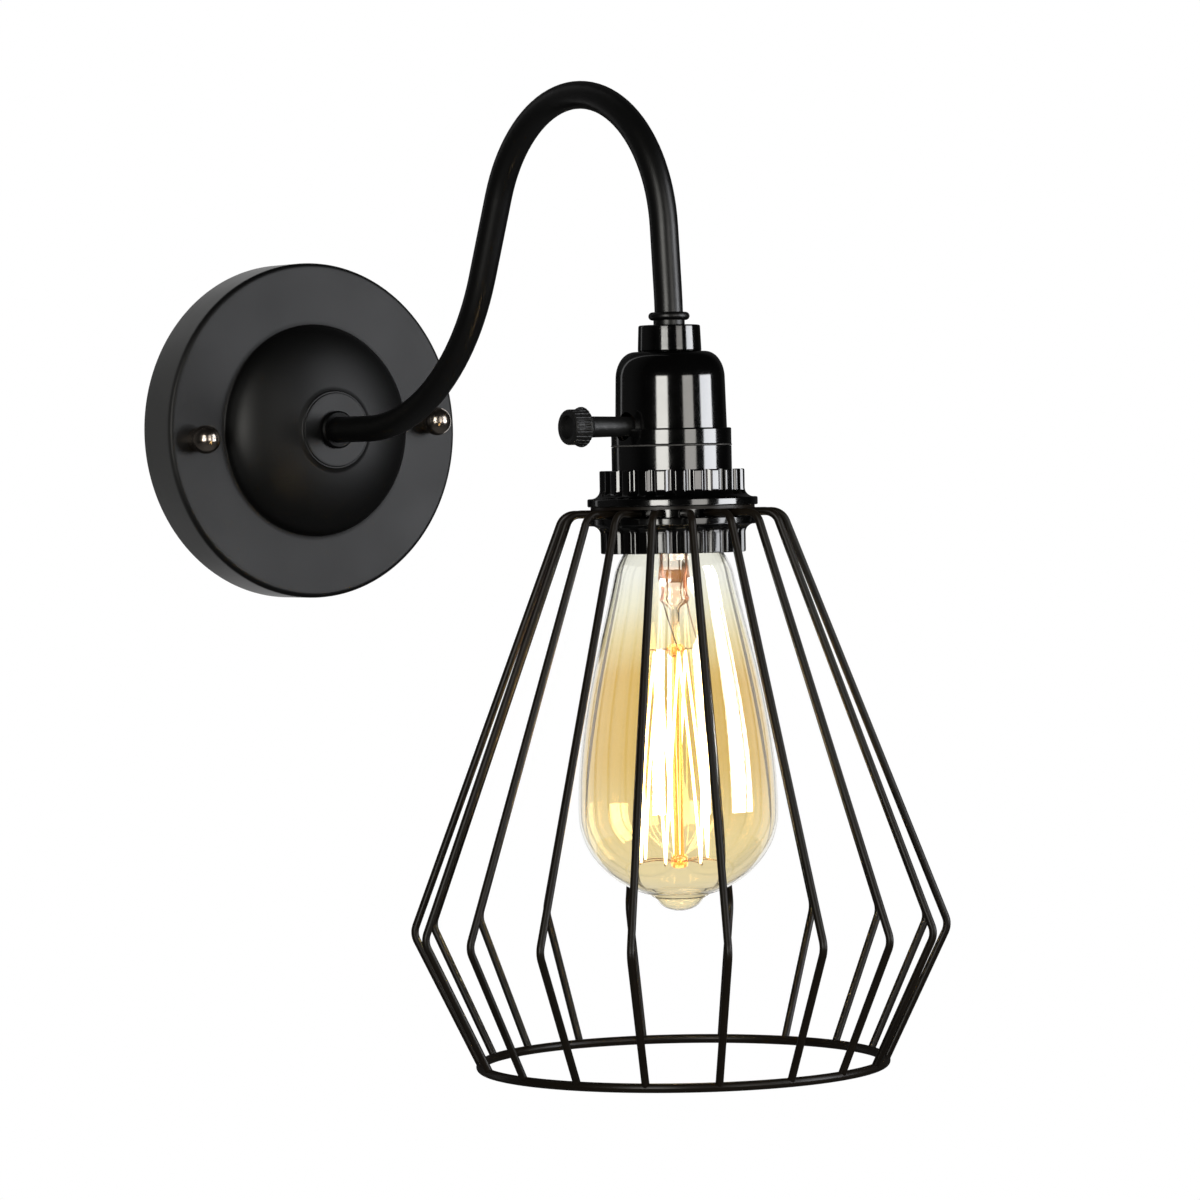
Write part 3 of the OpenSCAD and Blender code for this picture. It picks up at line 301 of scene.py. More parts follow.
def stem_glass():
    """Clear at the top, with painted shade about the pinch and a faint painted orange glow across
    it. Below the top hooks the rod is painted orange and glows, painted light that stands in for
    the filament's light that it carries."""
    g = Graph("stem_glass")
    low, high = HOOK_FOOT_Z, HOOK_TOP_Z
    # Painted light: below the top hooks the rod is tinted orange for the filament's light it
    # carries
    lit = height(g, high + 14, high - 6)
    streak = g.noise(300, 2.0, g.stretch((1, 1, 0.15)))
    shade = g.ramp(lit, (0.0, (0.94, 0.89, 0.86)), (0.5, (0.97, 0.84, 0.66)),
                   (1.0, (1.0, 0.62, 0.3)))
    # Painted shade: the glass is darker about the pinch
    painted_pinch_shade = g.ramp(height(g, high + 4, high + 26), (0.0, (1, 1, 1)), (0.3, (0.9, 0.85, 0.79)),
                   (0.8, (0.9, 0.84, 0.78)), (1.0, (1, 1, 1)))
    shade = g.mix(1.0, shade, painted_pinch_shade, "MULTIPLY")
    # Painted glow: the rod between the hooks and a band at the pinch give off light, though the
    # glass is no lamp
    ends = g.ramp(height(g, low - 2, high), (0.0, (0, 0, 0)), (0.05, (1, 1, 1)),
                  (0.97, (1, 1, 1)), (1.0, (0, 0, 0)))
    pinch = g.ramp(height(g, PINCH_Z - 2, PINCH_Z + 14), (0.0, (0, 0, 0)), (0.15, (0.2,) * 3),
                   (0.6, (0.25,) * 3), (0.74, (0.5,) * 3), (0.84, (0.3,) * 3), (0.9, (0.04,) * 3))
    power = g.math("MULTIPLY", g.math("MAXIMUM", ends, pinch), g.between(streak, 0.25, 0.6))
    return g.surface(shade, 0.02, g.bump(streak, 0.08, 0.00002), Transmission_Weight=1.0, IOR=1.5,
                     Emission_Color=(1.0, 0.36, 0.08), Emission_Strength=power)


def bead_glass():
    """Glass beads painted orange and given a faint glow, painted light that stands in for the
    strands lighting them.
    """
    g = Graph("bead_glass")
    cloud = g.noise(500, 2.0)
    # Painted light: orange tint and glow for the strands' light on the beads
    shade = g.mix(g.between(cloud, 0.0, 1.0), (1.0, 0.7, 0.4), (1.0, 0.62, 0.3))
    power = g.between(cloud, 0.15, 0.3)
    return g.surface(shade, 0.05, Transmission_Weight=1.0, IOR=1.5,
                     Emission_Color=(1.0, 0.4, 0.1), Emission_Strength=power)


AMBER = amber_coat()
OUTER = outer_glass()
STEM = stem_glass()
BEAD = bead_glass()
GLOW = glow("filament_glow", (1.0, 0.8, 0.54), 12.0)

NODE_MATERIALS = {
    "canopy_paint": "canopy",
    "arm_paint": "arm_tube arm_end_ring",
    "collar_paint": "arm_collar",
    "cage_paint": "cage_hub cage_wires cage_mouth_ring",
    "pearl_black": "neck_collar socket_cap socket_shell upper_shade_ring lower_shade_ring",
    "black_nickel": "ball_nuts",
    "knob_plastic": "switch_knob",
    "zinc_steel": "mounting_bracket canopy_studs stud_lock_nuts terminal_screws block_screw "
                  "arm_washer arm_lock_nut socket_nut switch_spindle",
    "dark_steel": "grub_screw",
    "brass": "terminal_inserts earth_screw screw_shell centre_contact socket_screws "
             "switch_leaf",
    "tinned_copper": "earth_lug",
    "ivory_plastic": "terminal_block cable_bush switch_cam",
    "brown_phenolic": "switch_body",
    "porcelain": "socket_core",
    "liner_card": "shell_liner",
    "wire_live": "live_wire",
    "wire_neutral": "neutral_wire",
    "wire_earth": "earth_wire",
    "black_glass": "base_insulator",
    "solder": "bulb_contact",
}
for slot_name, members in NODE_MATERIALS.items():
    for member in members.split():
        nodes[member].material_slots[0].material = MATERIALS[slot_name]

# ---- mesh helpers ----------------------------------------------------------------------------
# Profile points nearer to the axis than this lie on it
ON_AXIS = 1e-6


def make(name, verts, faces, materials, body, crisp=None, cutters=()):
    """A mesh from points in millimetres, riding on its body. Edges sharper than crisp degrees
    stay sharp."""
    mesh = bpy.data.meshes.new(name)
    mesh.from_pydata([tuple(c * MM for c in v) for v in verts], [], faces)
    mesh.validate()
    for material in materials:
        mesh.materials.append(material)
    mesh.shade_smooth()
    piece = bpy.data.objects.new(name, mesh)
    bpy.context.scene.collection.objects.link(piece)
    for cutter in cutters:
        carve(piece, *cutter)
    if crisp:
        sharpen(piece.data, crisp)
    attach(piece, body)
    return piece


def turns(steps):
    """Even angles round a circle, in radians."""
    return [2 * math.pi * k / steps for k in range(steps)]


def on_circle(r, a, z):
    """The point at a radius, an angle in radians and a height about the lamp's axis."""
    return r * math.cos(a), -AXIS_Y + r * math.sin(a), z


def around(r, degrees, z):
    """The same as a vector, for an angle in degrees."""
    return Vector(on_circle(r, math.radians(degrees), z))


def ring_of(r, z, steps):
    """A level circle of points about the lamp's axis."""
    return [on_circle(r, a, z) for a in turns(steps)]


def lathe(profile, segments, closed=True):
    """Points and faces of a profile of (radius, height) turned about the lamp's axis. The ends
    of an open profile may lie on the axis."""
    verts, rings = [], []
    for r, z in profile:
        if r < ON_AXIS:
            rings.append([len(verts)] * segments)
            verts.append((0.0, -AXIS_Y, z))
        else:
            rings.append(list(range(len(verts), len(verts) + segments)))
            verts += ring_of(r, z, segments)
    faces = []
    next_rings = rings[1:] + (rings[:1] if closed else [])
    for low, high in zip(rings, next_rings):
        for k in range(segments):
            n = (k + 1) % segments
            face = []
            for index in (low[k], low[n], high[n], high[k]):
                if index not in face:
                    face.append(index)
            if len(face) > 2:
                faces.append(tuple(face))
    return verts, faces


def sheet_of(rings):
    """Points and faces of a closed skin over rings of points that all have the same count."""
    steps = len(rings[0])
    verts = [p for ring in rings for p in ring]
    faces = []
    for i in range(len(rings)):
        j = (i + 1) % len(rings)
        for k in range(steps):
            n = (k + 1) % steps
            faces.append((i * steps + k, i * steps + n, j * steps + n, j * steps + k))
    return verts, faces


def tube(path, radius, sides):
    """Points and faces of a round bar along a path, closed at both ends. The radius is one
    number, or one for each point of the path."""
    pts = [Vector(p) for p in path]
    verts, faces = [], []
    side = None
    for i, p in enumerate(pts):
        ahead = (pts[min(i + 1, len(pts) - 1)] - pts[max(i - 1, 0)]).normalized()
        if side is None:
            side = ahead.cross(UP if abs(ahead.dot(UP)) < 0.95 else Vector((1, 0, 0)))
        side = (side - ahead * side.dot(ahead)).normalized()
        other = ahead.cross(side)
        r = radius[i] if isinstance(radius, (list, tuple)) else radius
        verts += [tuple(p + r * (math.cos(a) * side + math.sin(a) * other)) for a in turns(sides)]
    for i in range(len(pts) - 1):
        for k in range(sides):
            a, b = i * sides + k, i * sides + (k + 1) % sides
            faces.append((a, b, b + sides, a + sides))
    for i, turn in ((0, -1), (len(pts) - 1, 1)):
        ring = list(range(i * sides, (i + 1) * sides))
        faces.append(tuple(ring[::turn]))
    return verts, faces


def together(*parts):
    """One list of points and one of faces for several shapes."""
    verts, faces = [], []
    for part_verts, part_faces in parts:
        shift = len(verts)
        verts += part_verts
        faces += [tuple(i + shift for i in face) for face in part_faces]
    return verts, faces


def arc(cx, cy, rx, ry, a0, a1, n):
    """Points of a flat elliptic arc about (cx, cy), from a0 to a1 degrees in n steps."""
    return [(cx + rx * math.cos(math.radians(a0 + (a1 - a0) * i / n)),
             cy + ry * math.sin(math.radians(a0 + (a1 - a0) * i / n))) for i in range(n + 1)]


def curve(a, b, c, d, n):
    """Points of a cubic curve from a to d with the handles b and c."""
    pts = []
    for i in range(n + 1):
        t = i / n
        w = ((1 - t) ** 3, 3 * (1 - t) ** 2 * t, 3 * (1 - t) * t * t, t ** 3)
        pts.append(tuple(sum(k * p[j] for k, p in zip(w, (a, b, c, d))) for j in range(2)))
    return pts


def sharpen(mesh, degrees):
    """Marks the edges sharper than an angle, so that they stay crisp under smooth shading."""
    limit = math.cos(math.radians(degrees))
    normals_at = {}
    for face in mesh.polygons:
        for key in face.edge_keys:
            normals_at.setdefault(key, []).append(face.normal.copy())
    sharp = []
    for edge in mesh.edges:
        normals = normals_at.get(edge.key, ())
        sharp.append(len(normals) == 2 and normals[0].dot(normals[1]) < limit)
    attribute = mesh.attributes.new("sharp_edge", "BOOLEAN", "EDGE")
    attribute.data.foreach_set("value", sharp)


def carve(piece, verts, faces):
    """Cuts a closed shape in millimetres out of a piece that isn't riding yet."""
    mesh = bpy.data.meshes.new("cutter")
    mesh.from_pydata([tuple(c * MM for c in v) for v in verts], [], faces)
    cutter = bpy.data.objects.new("cutter", mesh)
    bpy.context.scene.collection.objects.link(cutter)
    step = piece.modifiers.new("cut", "BOOLEAN")
    step.operation, step.solver, step.object = "DIFFERENCE", "EXACT", cutter
    scene_now = bpy.context.evaluated_depsgraph_get()
    carved = bpy.data.meshes.new_from_object(piece.evaluated_get(scene_now))
    piece.modifiers.clear()
    piece.data = carved
    bpy.data.objects.remove(cutter)
    carved.shade_smooth()


# ---- lamp ------------------------------------------------------------------------------------
# Outline of the glass, by radius and by drop below the rim of the screw base
NECK_R = BASE_R - 0.7
GLASS_LIP = 7.0
THROAT_R, THROAT_DROP = 17.4, 6.0
CONE_R, CONE_DROP = 19.2, 12.6
SWELL_R, SWELL_DROP = 23.2, 32.0
BELLY_DROP = 58.0
BOWL_LIFT = 4.0
NUB_R, NUB_H, NUB_FILLET = 7.6, 5.0, 2.2
# Thickness of the glass in the body, the neck and the nub
BODY_T, NECK_T, NUB_T = 0.9, 0.7, 0.35
GLASS_STEPS = 160
# Screw base
CONTACT_H, INSULATOR_H, INSULATOR_FOOT_R = 2.2, 3.3, 10.4
BASE_SHEET = 0.3
ROOT_R, PITCH = 12.0, 3.63
THREAD_STEPS = 96


def bulb_outline(t, neck_t, nub_t):
    """Outline of the glass at a depth of t below its outside, neck_t deep in the neck and
    nub_t in the nub."""
    cone = (CONE_R - t, RIM_Z - CONE_DROP)
    bowl = BELLY_Z - TIP_Z - BOWL_LIFT
    bowl_end = math.degrees(math.acos((NUB_R + NUB_FILLET) / BULB_R))
    pts = [(NECK_R - neck_t, RIM_Z + GLASS_LIP)]
    pts += curve((NECK_R - neck_t, RIM_Z - 0.3),
                 (NECK_R + 0.6 - (t + neck_t) / 2, RIM_Z - THROAT_DROP / 2),
                 (THROAT_R - t, RIM_Z - THROAT_DROP), cone, 14)
    pts += curve(cone, (SWELL_R - t, RIM_Z - SWELL_DROP), (BULB_R - t, RIM_Z - BELLY_DROP),
                 (BULB_R - t, BELLY_Z), 40)[1:]
    pts += arc(0, BELLY_Z, BULB_R - t, bowl - t, -4, -bowl_end, 26)
    pts += arc(0, TIP_Z + NUB_H, NUB_R - nub_t, NUB_H - nub_t, -15, -90, 20)
    return pts


def glass_bulb():
    """Blown glass with a clear outer face and a coated inner one."""
    outer = bulb_outline(0.0, 0.0, 0.0)
    inner = bulb_outline(BODY_T, NECK_T, NUB_T)
    outer[-1], inner[-1] = (0.0, outer[-1][1]), (0.0, inner[-1][1])
    verts, faces = lathe(outer[::-1] + inner, GLASS_STEPS, closed=False)
    piece = make("lamp_glass", verts, faces, [OUTER, AMBER], "bulb")
    for face in piece.data.polygons:
        row = face.index // GLASS_STEPS
        face.material_index = 1 if row >= len(outer) else 0
    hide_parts("bulb_glass")
    return piece


GLASS = glass_bulb()


def thread_rows(r_low, r_high, z_low, z_high, taper):
    """Rows of points on the wavy wall of a rolled thread: the radius follows a helix between
    r_low and r_high, and the wave dies out over taper at both ends."""
    rows = int((z_high - z_low) / (PITCH / 10))
    made = []
    for row in range(rows + 1):
        z = z_low + (z_high - z_low) * row / rows
        fade = min(1.0, (z - z_low) / taper, (z_high - z) / taper)
        line = []
        for a in turns(THREAD_STEPS):
            wave = 0.5 - 0.5 * math.cos(2 * math.pi * z / PITCH - a)
            r = r_high - (r_high - r_low) * (1 - wave) * max(0.0, fade)
            line.append(on_circle(r, a, z))
        made.append(line)
    return made


def lamp_base():
    """Rolled screw base: round top, thread, and a plain rim that grips the glass."""
    top_z = CONTACT_Z - CONTACT_H - INSULATOR_H
    crown = ((INSULATOR_FOOT_R, top_z), (BASE_R - 1.4, top_z), (BASE_R - 0.5, top_z - 0.5),
             (BASE_R - 0.1, top_z - 1.5))
    rim = ((BASE_R - 0.05, RIM_Z + 2.4), (BASE_R, RIM_Z))
    rows = [ring_of(r, z, THREAD_STEPS) for r, z in crown]
    rows += thread_rows(ROOT_R, BASE_R, RIM_Z + 2.6, top_z - 1.6, 1.6)[::-1]
    rows += [ring_of(r, z, THREAD_STEPS) for r, z in rim]
    shrink = 1 - BASE_SHEET / BASE_R
    inner = [[(x * shrink, -AXIS_Y + (y + AXIS_Y) * shrink, z - (BASE_SHEET if i < 3 else 0))
              for x, y, z in row] for i, row in enumerate(rows)]
    inner[0] = ring_of(INSULATOR_FOOT_R, top_z - BASE_SHEET, THREAD_STEPS)
    verts, faces = sheet_of(rows + inner[::-1])
    piece = make("lamp_base", verts, faces, [MATERIALS["nickel_base"]], "bulb")
    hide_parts("bulb_base")


lamp_base()


# Turn of the pinch, and its wide and thin directions
PINCH_TURN = -35
PINCH_WIDE = Vector((math.cos(math.radians(PINCH_TURN)), math.sin(math.radians(PINCH_TURN)), 0))
PINCH_THIN = PINCH_WIDE.cross(UP)
STEM_R = 4.8


def stem():
    """Glass mount: flare, exhaust tube, pinch and rod. It is turned round, and then pressed flat
    about the pinch."""
    flare_r = NECK_R - NECK_T - 0.05
    profile = [(0, RIM_Z + 3.2), (STEM_R - 1, RIM_Z + 3.2), (flare_r, RIM_Z + 6.6),
               (flare_r, RIM_Z + 5.6)]
    profile += curve((STEM_R + 2, RIM_Z + 2.6), (STEM_R, RIM_Z + 1), (STEM_R, RIM_Z - 2),
                     (STEM_R, PINCH_Z + 8), 10)
    profile += curve((STEM_R, PINCH_Z + 8), (STEM_R - 1.2, PINCH_Z + 6),
                     (STEM_R - 1.6, PINCH_Z + 4), (STEM_R - 0.4, PINCH_Z + 2), 8)[1:]
    profile += curve((STEM_R - 0.4, PINCH_Z + 2), (STEM_R - 0.2, PINCH_Z), (ROD_R + 0.6, PINCH_Z),
                     (ROD_R, PINCH_Z - 2), 6)[1:]
    profile += [(ROD_R, HOOK_TOP_Z + 6), (ROD_R, HOOK_FOOT_Z - 1), (0, HOOK_FOOT_Z - 2)]
    turned, faces = lathe(profile[::-1], 64, closed=False)
    verts = []
    for x, y, z in turned:
        across = Vector((x, y + AXIS_Y, 0))
        flat = min(1.0, max(0.0, (z - PINCH_Z + 1.5) / 2), max(0.0, (PINCH_Z + 9.2 - z) / 1.4))
        wide, thin = across.dot(PINCH_WIDE), across.dot(PINCH_THIN)
        across = PINCH_WIDE * wide * (1 + 0.1 * flat) + PINCH_THIN * thin * (1 - 0.5 * flat)
        verts.append((across.x, across.y - AXIS_Y, z))
    piece = make("lamp_stem", verts, faces, [STEM], "bulb")
    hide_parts("glass_stem")


stem()


BEAD_R, BEAD_HALF_H = 2.9, 2.2


def beads():
    """Fused glass beads on the rod that hold the hooks."""
    bore_r = ROD_R + 0.05
    parts = []
    for z in (HOOK_TOP_Z, HOOK_FOOT_Z):
        profile = [(bore_r, z + BEAD_HALF_H), (bore_r, z - BEAD_HALF_H)]
        profile += arc(bore_r, z, BEAD_R - bore_r, BEAD_HALF_H, -90, 90, 12)[1:-1]
        parts.append(lathe(profile, 32))
    verts, faces = together(*parts)
    make("filament_beads", verts, faces, [BEAD], "bulb")


beads()


HOOKS = STRANDS // 2
HOOK_ROOT_R, HOOK_WIRE_R, LOOP_R, LOOP_WIRE_R, LEAD_WIRE_R = 2.2, 0.17, 0.45, 0.15, 0.24
# Top hooks that are the ends of lead wires, with the turn at which each wire leaves the pinch
# and its bow
LEADS = {(HOOK_TOP_R, PHASE + 5 * 360 / HOOKS): (150, -1.0),
         (HOOK_TOP_R, PHASE + 6 * 360 / HOOKS): (-35, -2.5)}


def hooks():
    """Fine hooks that end in loops, and the two lead wires that come out of the pinch, with
    their copper seals inside it."""
    parts, seals = [], []
    rows = [(HOOK_TOP_R, HOOK_TOP_Z, PHASE + i * 360 / HOOKS) for i in range(HOOKS)]
    rows += [(HOOK_FOOT_R, HOOK_FOOT_Z, PHASE + (i + 0.5) * 360 / HOOKS) for i in range(HOOKS)]
    for r, z, a in rows:
        outward = around(1, a, 0) - around(0, a, 0)
        if (r, a) not in LEADS:
            out = [around(HOOK_ROOT_R + (r - HOOK_ROOT_R) * t, a, z + 0.5 * math.sin(math.pi * t))
                   for t in np.linspace(0, 1, 8)]
            parts.append(tube(out, HOOK_WIRE_R, 8))
        loop = [around(r, a, z) + Vector((0, 0, LOOP_R)) * math.sin(b)
                + LOOP_R * (1 - math.cos(b)) * outward for b in np.linspace(0, 1.8 * math.pi, 10)]
        parts.append(tube(loop, LOOP_WIRE_R, 6))
    for (r, a), (start_a, bow) in LEADS.items():
        start, end = around(3.9, start_a, PINCH_Z + 1.5), around(r, a, HOOK_TOP_Z + 0.3)
        bend = start.lerp(end, 0.3) + Vector((0, 0, bow))
        path = [start * (1 - t) ** 2 + 2 * t * (1 - t) * bend + end * t * t
                for t in (float(u) for u in np.linspace(0, 1, 12))]
        parts.append(tube(path, LEAD_WIRE_R, 8))
        inner = [around(3.2, start_a, RIM_Z + 4), around(3.0, start_a, PINCH_Z + 9),
                 around(3.4, start_a, PINCH_Z + 6), around(3.8, start_a, PINCH_Z + 1.4)]
        seals.append(tube(inner, [0.4, 0.4, 0.55, 0.5], 10))
    verts, faces = together(*seals)
    make("lead_seals", verts, faces, [MATERIALS["red_copper"]], "bulb")
    verts, faces = together(*parts)
    piece = make("filament_supports", verts, faces, [MATERIALS["lead_metal"]], "bulb")
    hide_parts("filament_hooks", "lead_wires")


hooks()

STRAND_R, STRAND_BOW = 0.42, 0.9


def filament():
    """Strands strung up and down between the hooks, each bowed a little outward."""
    ends = ((HOOK_TOP_R, HOOK_TOP_Z), (HOOK_FOOT_R, HOOK_FOOT_Z))
    parts = []
    for i in range(STRANDS):
        (r, z), (next_r, next_z) = ends if i % 2 == 0 else ends[::-1]
        start = around(r, PHASE + i * 360 / STRANDS, z)
        end = around(next_r, PHASE + (i + 1) * 360 / STRANDS, next_z)
        path = []
        for t in np.linspace(0, 1, 16):
            p = start.lerp(end, float(t))
            out = (p - around(0, 0, p.z)).normalized()
            path.append(p + out * (STRAND_BOW * math.sin(math.pi * t)))
        parts.append(tube(path, STRAND_R, 8))
    verts, faces = together(*parts)
    piece = make("filament_strands", verts, faces, [GLOW], "bulb")
    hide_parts("filament")


filament()

# ---- shade rings -----------------------------------------------------------------------------
# As in part.scad
SHELL_R = 20.0
SKIRT_R, FLANGE_R, FLANGE_T, RING_H, FLARE_H = 23.4, 27.45, 2.6, 11.6, 2.9
FLUTES = 24
# Points across a flute, and the rounding of the flange's foot and of the other edges
FLUTE_STEPS, FOOT_EDGE_R, RING_EDGE_R = 20, 0.45, 0.5
# The depth of a flute follows a hyperbola: reach less the root of round squared plus the
# distance from its middle squared, times gain
FLUTE_REACH, FLUTE_ROUND, FLUTE_GAIN = 1.9, 1.05, 1.25


def shade_ring(name, node, foot, up, material):
    """Threaded ring whose skirt has rounded flutes that run out in the flare."""
    outline = [(FLANGE_R - FOOT_EDGE_R, 0.0)]
    outline += arc(FLANGE_R - FOOT_EDGE_R, FOOT_EDGE_R, FOOT_EDGE_R, FOOT_EDGE_R, -90, 0, 5)[1:]
    outline += arc(FLANGE_R - RING_EDGE_R, FLANGE_T - RING_EDGE_R, RING_EDGE_R, RING_EDGE_R,
                   0, 90, 5)
    outline += arc(SKIRT_R + FLARE_H, FLANGE_T + FLARE_H, FLARE_H, FLARE_H, 270, 180, 14)
    outline += [(SKIRT_R, FLANGE_T + FLARE_H + 1.5), (SKIRT_R, RING_H - 2.0)]
    outline += arc(SKIRT_R - RING_EDGE_R, RING_H - RING_EDGE_R, RING_EDGE_R, RING_EDGE_R, 0, 90, 6)
    steps = FLUTES * FLUTE_STEPS
    rows = []
    for r, h in outline:
        run_out = min(1.0, max(0.0, (h - FLANGE_T - 0.9) / 1.3)) ** 0.5
        row = []
        for k, a in enumerate(turns(steps)):
            off = abs((k / FLUTE_STEPS) % 1.0 - 0.5) * 2 * math.pi * SKIRT_R / FLUTES
            groove = max(0.0, FLUTE_REACH - math.sqrt(FLUTE_ROUND ** 2 + off * off)) * FLUTE_GAIN
            cut = max(0.0, min(r, SKIRT_R + 1.4) - (SKIRT_R - groove)) if groove > 0 else 0.0
            row.append(on_circle(r - cut * run_out, a, foot + up * h))
        rows.append(row)
    bore = [ring_of(SHELL_R + 0.9, foot + up * RING_H, steps)]
    bore += [ring_of(SHELL_R + 0.1 + 0.35 * (1 + math.cos(2 * math.pi * t * 5)) / 2,
                     foot + up * (RING_H - 0.8 - t * (RING_H - 1.6)), steps)
             for t in (i / 40 for i in range(41))]
    bore += [ring_of(SHELL_R + 0.9, foot, steps)]
    verts, faces = sheet_of(rows + bore)
    piece = make(name, verts, faces, [MATERIALS[material]], "light", crisp=40)
    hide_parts(node)


upper_box, lower_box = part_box("upper_shade_ring"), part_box("lower_shade_ring")
shade_ring("upper_ring", "upper_shade_ring", upper_box[0].z / MM, 1, "pearl_black")
shade_ring("lower_ring", "lower_shade_ring", lower_box[1].z / MM, -1, "ring_black")

# ---- canopy ----------------------------------------------------------------------------------
# As in part.scad
CANOPY_R, CANOPY_H, CANOPY_T, CANOPY_EDGE_R = 60.0, 18.0, 1.0, 1.8
DOME_R, DOME_H, LAND_R, ARM_HOLE_R, STUD_HOLE_R = 37.5, 14.5, 13.3, 4.8, 2.2
# Rounding at the dome's foot and at the land's edge
DOME_FILLET_R, LAND_EDGE_R = 0.8, 0.4


def canopy_outline(t):
    """Outline of the pressed canopy at a depth of t, as radius and distance from the wall."""
    pts = [(CANOPY_R - t, 0.0), (CANOPY_R - t, CANOPY_H - CANOPY_EDGE_R - 1)]
    pts += arc(CANOPY_R - CANOPY_EDGE_R, CANOPY_H - CANOPY_EDGE_R, CANOPY_EDGE_R - t,
               CANOPY_EDGE_R - t, 0, 90, 10)
    pts += [(CANOPY_R - CANOPY_EDGE_R - 1, CANOPY_H - t), (DOME_R + 2.2 - t, CANOPY_H - t)]
    pts += arc(DOME_R + DOME_FILLET_R - t, CANOPY_H + DOME_FILLET_R - t, DOME_FILLET_R,
               DOME_FILLET_R, -90, -170, 6)[1:]
    end = math.degrees(math.acos((LAND_R + 1.6 - t) / (DOME_R - t)))
    pts += arc(0, CANOPY_H - t, DOME_R - t, DOME_H, 5, end, 48)
    pts += arc(LAND_R + 1.5 - t, CANOPY_H + DOME_H - t - 0.1, 1.2, 0.9, -90, -160, 5)[1:]
    pts += arc(LAND_R - LAND_EDGE_R - t, CANOPY_H + DOME_H - t - LAND_EDGE_R, LAND_EDGE_R,
               LAND_EDGE_R, 0, 90, 4)
    pts += [(LAND_R - 1.2, CANOPY_H + DOME_H - t), (ARM_HOLE_R, CANOPY_H + DOME_H - t)]
    return pts


def canopy():
    """Pressed canopy with its arm hole and the two holes for the studs."""
    turned, faces = lathe(canopy_outline(0.0) + canopy_outline(CANOPY_T)[::-1], 256)
    verts = [(x, -z, y + AXIS_Y) for x, y, z in turned]
    holes = []
    for side in (-1, 1):
        nut = [v.co for v in nodes["ball_nuts"].data.vertices if v.co.x * side > 0]
        low, high = (Vector([pick(p[i] for p in nut) for i in range(3)]) for pick in (min, max))
        x, z = (low.x + high.x) / 2 / MM, (low.z + high.z) / 2 / MM
        holes.append(tube([(x, -CANOPY_H - 3, z), (x, -10, z)], STUD_HOLE_R, 40))
    piece = make("pressed_canopy", verts, faces, [MATERIALS["canopy_paint"]], "light",
                 crisp=50, cutters=holes)
    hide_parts("canopy")
    return piece


CANOPY = canopy()

# ---- socket cap ------------------------------------------------------------------------------
# As in part.scad
CAP_TOP_Z, CAP_FOOT_Z, BAND_FOOT_Z = 21.395, -3.305, -9.005
CAP_TOP_R, CAP_R, BAND_R = 17.6, 18.0, 19.35
KNOB_Z = -2.505
# Thinner than in part.scad, and with a smaller hole round the knob's stem
CAP_T, KNOB_HOLE_R = 0.6, 4.6
# Dome over the walls, the collar's hole, the rolled lip and the rounding over the band
CROWN_R, CROWN_H = 6.1, 8.7
NECK_HOLE_R = 5.4
LIP_R, LEDGE_EDGE_R = 0.26, 0.4


def cap_outline(t):
    """Outline of the cap at a depth of t, from its mouth up to the collar's hole. The outside,
    at no depth, has the rolled lip."""
    ledge = CAP_FOOT_Z - t
    pts = []
    if t == 0:
        pts += arc(BAND_R - 0.1, BAND_FOOT_Z + LIP_R, LIP_R, LIP_R, -90, 65, 8)
    pts += [(BAND_R - t, z) for z in np.linspace(BAND_FOOT_Z + 2 * LIP_R, ledge - 0.6, 14)]
    if t > 0:
        pts.insert(0, (BAND_R - t, BAND_FOOT_Z))
    pts += arc(BAND_R - LEDGE_EDGE_R - t, ledge - LEDGE_EDGE_R, LEDGE_EDGE_R, LEDGE_EDGE_R,
               15, 90, 4)
    pts += [(CAP_R - t, ledge)]
    top = CAP_TOP_Z - CROWN_H
    pts += [(CAP_R + (CAP_TOP_R - CAP_R) * f - t, ledge + (top - ledge) * f)
            for f in np.linspace(0.05, 0.97, 24)]
    pts += arc(CAP_TOP_R - CROWN_R, top, CROWN_R - t, CROWN_H - t, 0, 90, 40)
    pts += [(NECK_HOLE_R, CAP_TOP_Z - t)]
    return [(float(r), float(z)) for r, z in pts]


def socket_cap():
    """Drawn cap, with the round hole for the knob's stem in its left side and a rolled lip that is
    painted lighter grey, a painted highlight.
    """
    verts, faces = lathe(cap_outline(0.0) + cap_outline(CAP_T)[::-1], 256)
    hole = tube([(-30, -AXIS_Y, KNOB_Z), (-8, -AXIS_Y, KNOB_Z)], KNOB_HOLE_R, 64)
    piece = make("socket_dome", verts, faces, [MATERIALS["pearl_black"], MATERIALS["painted_lip_highlight"]],
                 "light", crisp=35, cutters=[hole])
    # The faces of the rolled lip get the painted highlight, lighter grey than the cap
    for face in piece.data.polygons:
        x, y, z = face.center / MM
        rolled = math.hypot(x, y + AXIS_Y) > BAND_R + 0.02 and z < BAND_FOOT_Z + 2 * LIP_R
        face.material_index = 1 if rolled else 0
    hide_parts("socket_cap")


socket_cap()

# ---- studio, in metres -----------------------------------------------------------------------
LAMP = Vector((0, -AXIS_Y * MM, 0))
STRIP_REACH = 1.3
STRIPS = (  # azimuth and width in degrees as seen from the lamp, radiance, colour, glint's top
    ("left", 216.4, 23.6, 7.2, (1.0, 0.985, 0.93), 0.5),
    ("middle", 270.7, 21.6, 3.0, (1.0, 0.97, 0.92), 0.5),
    ("right", 313.6, 29.6, 7.2, (0.95, 0.965, 1.0), 0.88),
)
STRIP_FOOT, STRIP_LOW, STRIP_HIGH, STRIP_TOP = -1.0, -0.223, 0.17, 0.9
HIGH_SHARE, FOOT_SHARE = 0.4, 0.6
GLINT_RADIANCE, GLINT_FOOT, GLINT_GAP = 16.0, -0.22, 0.02


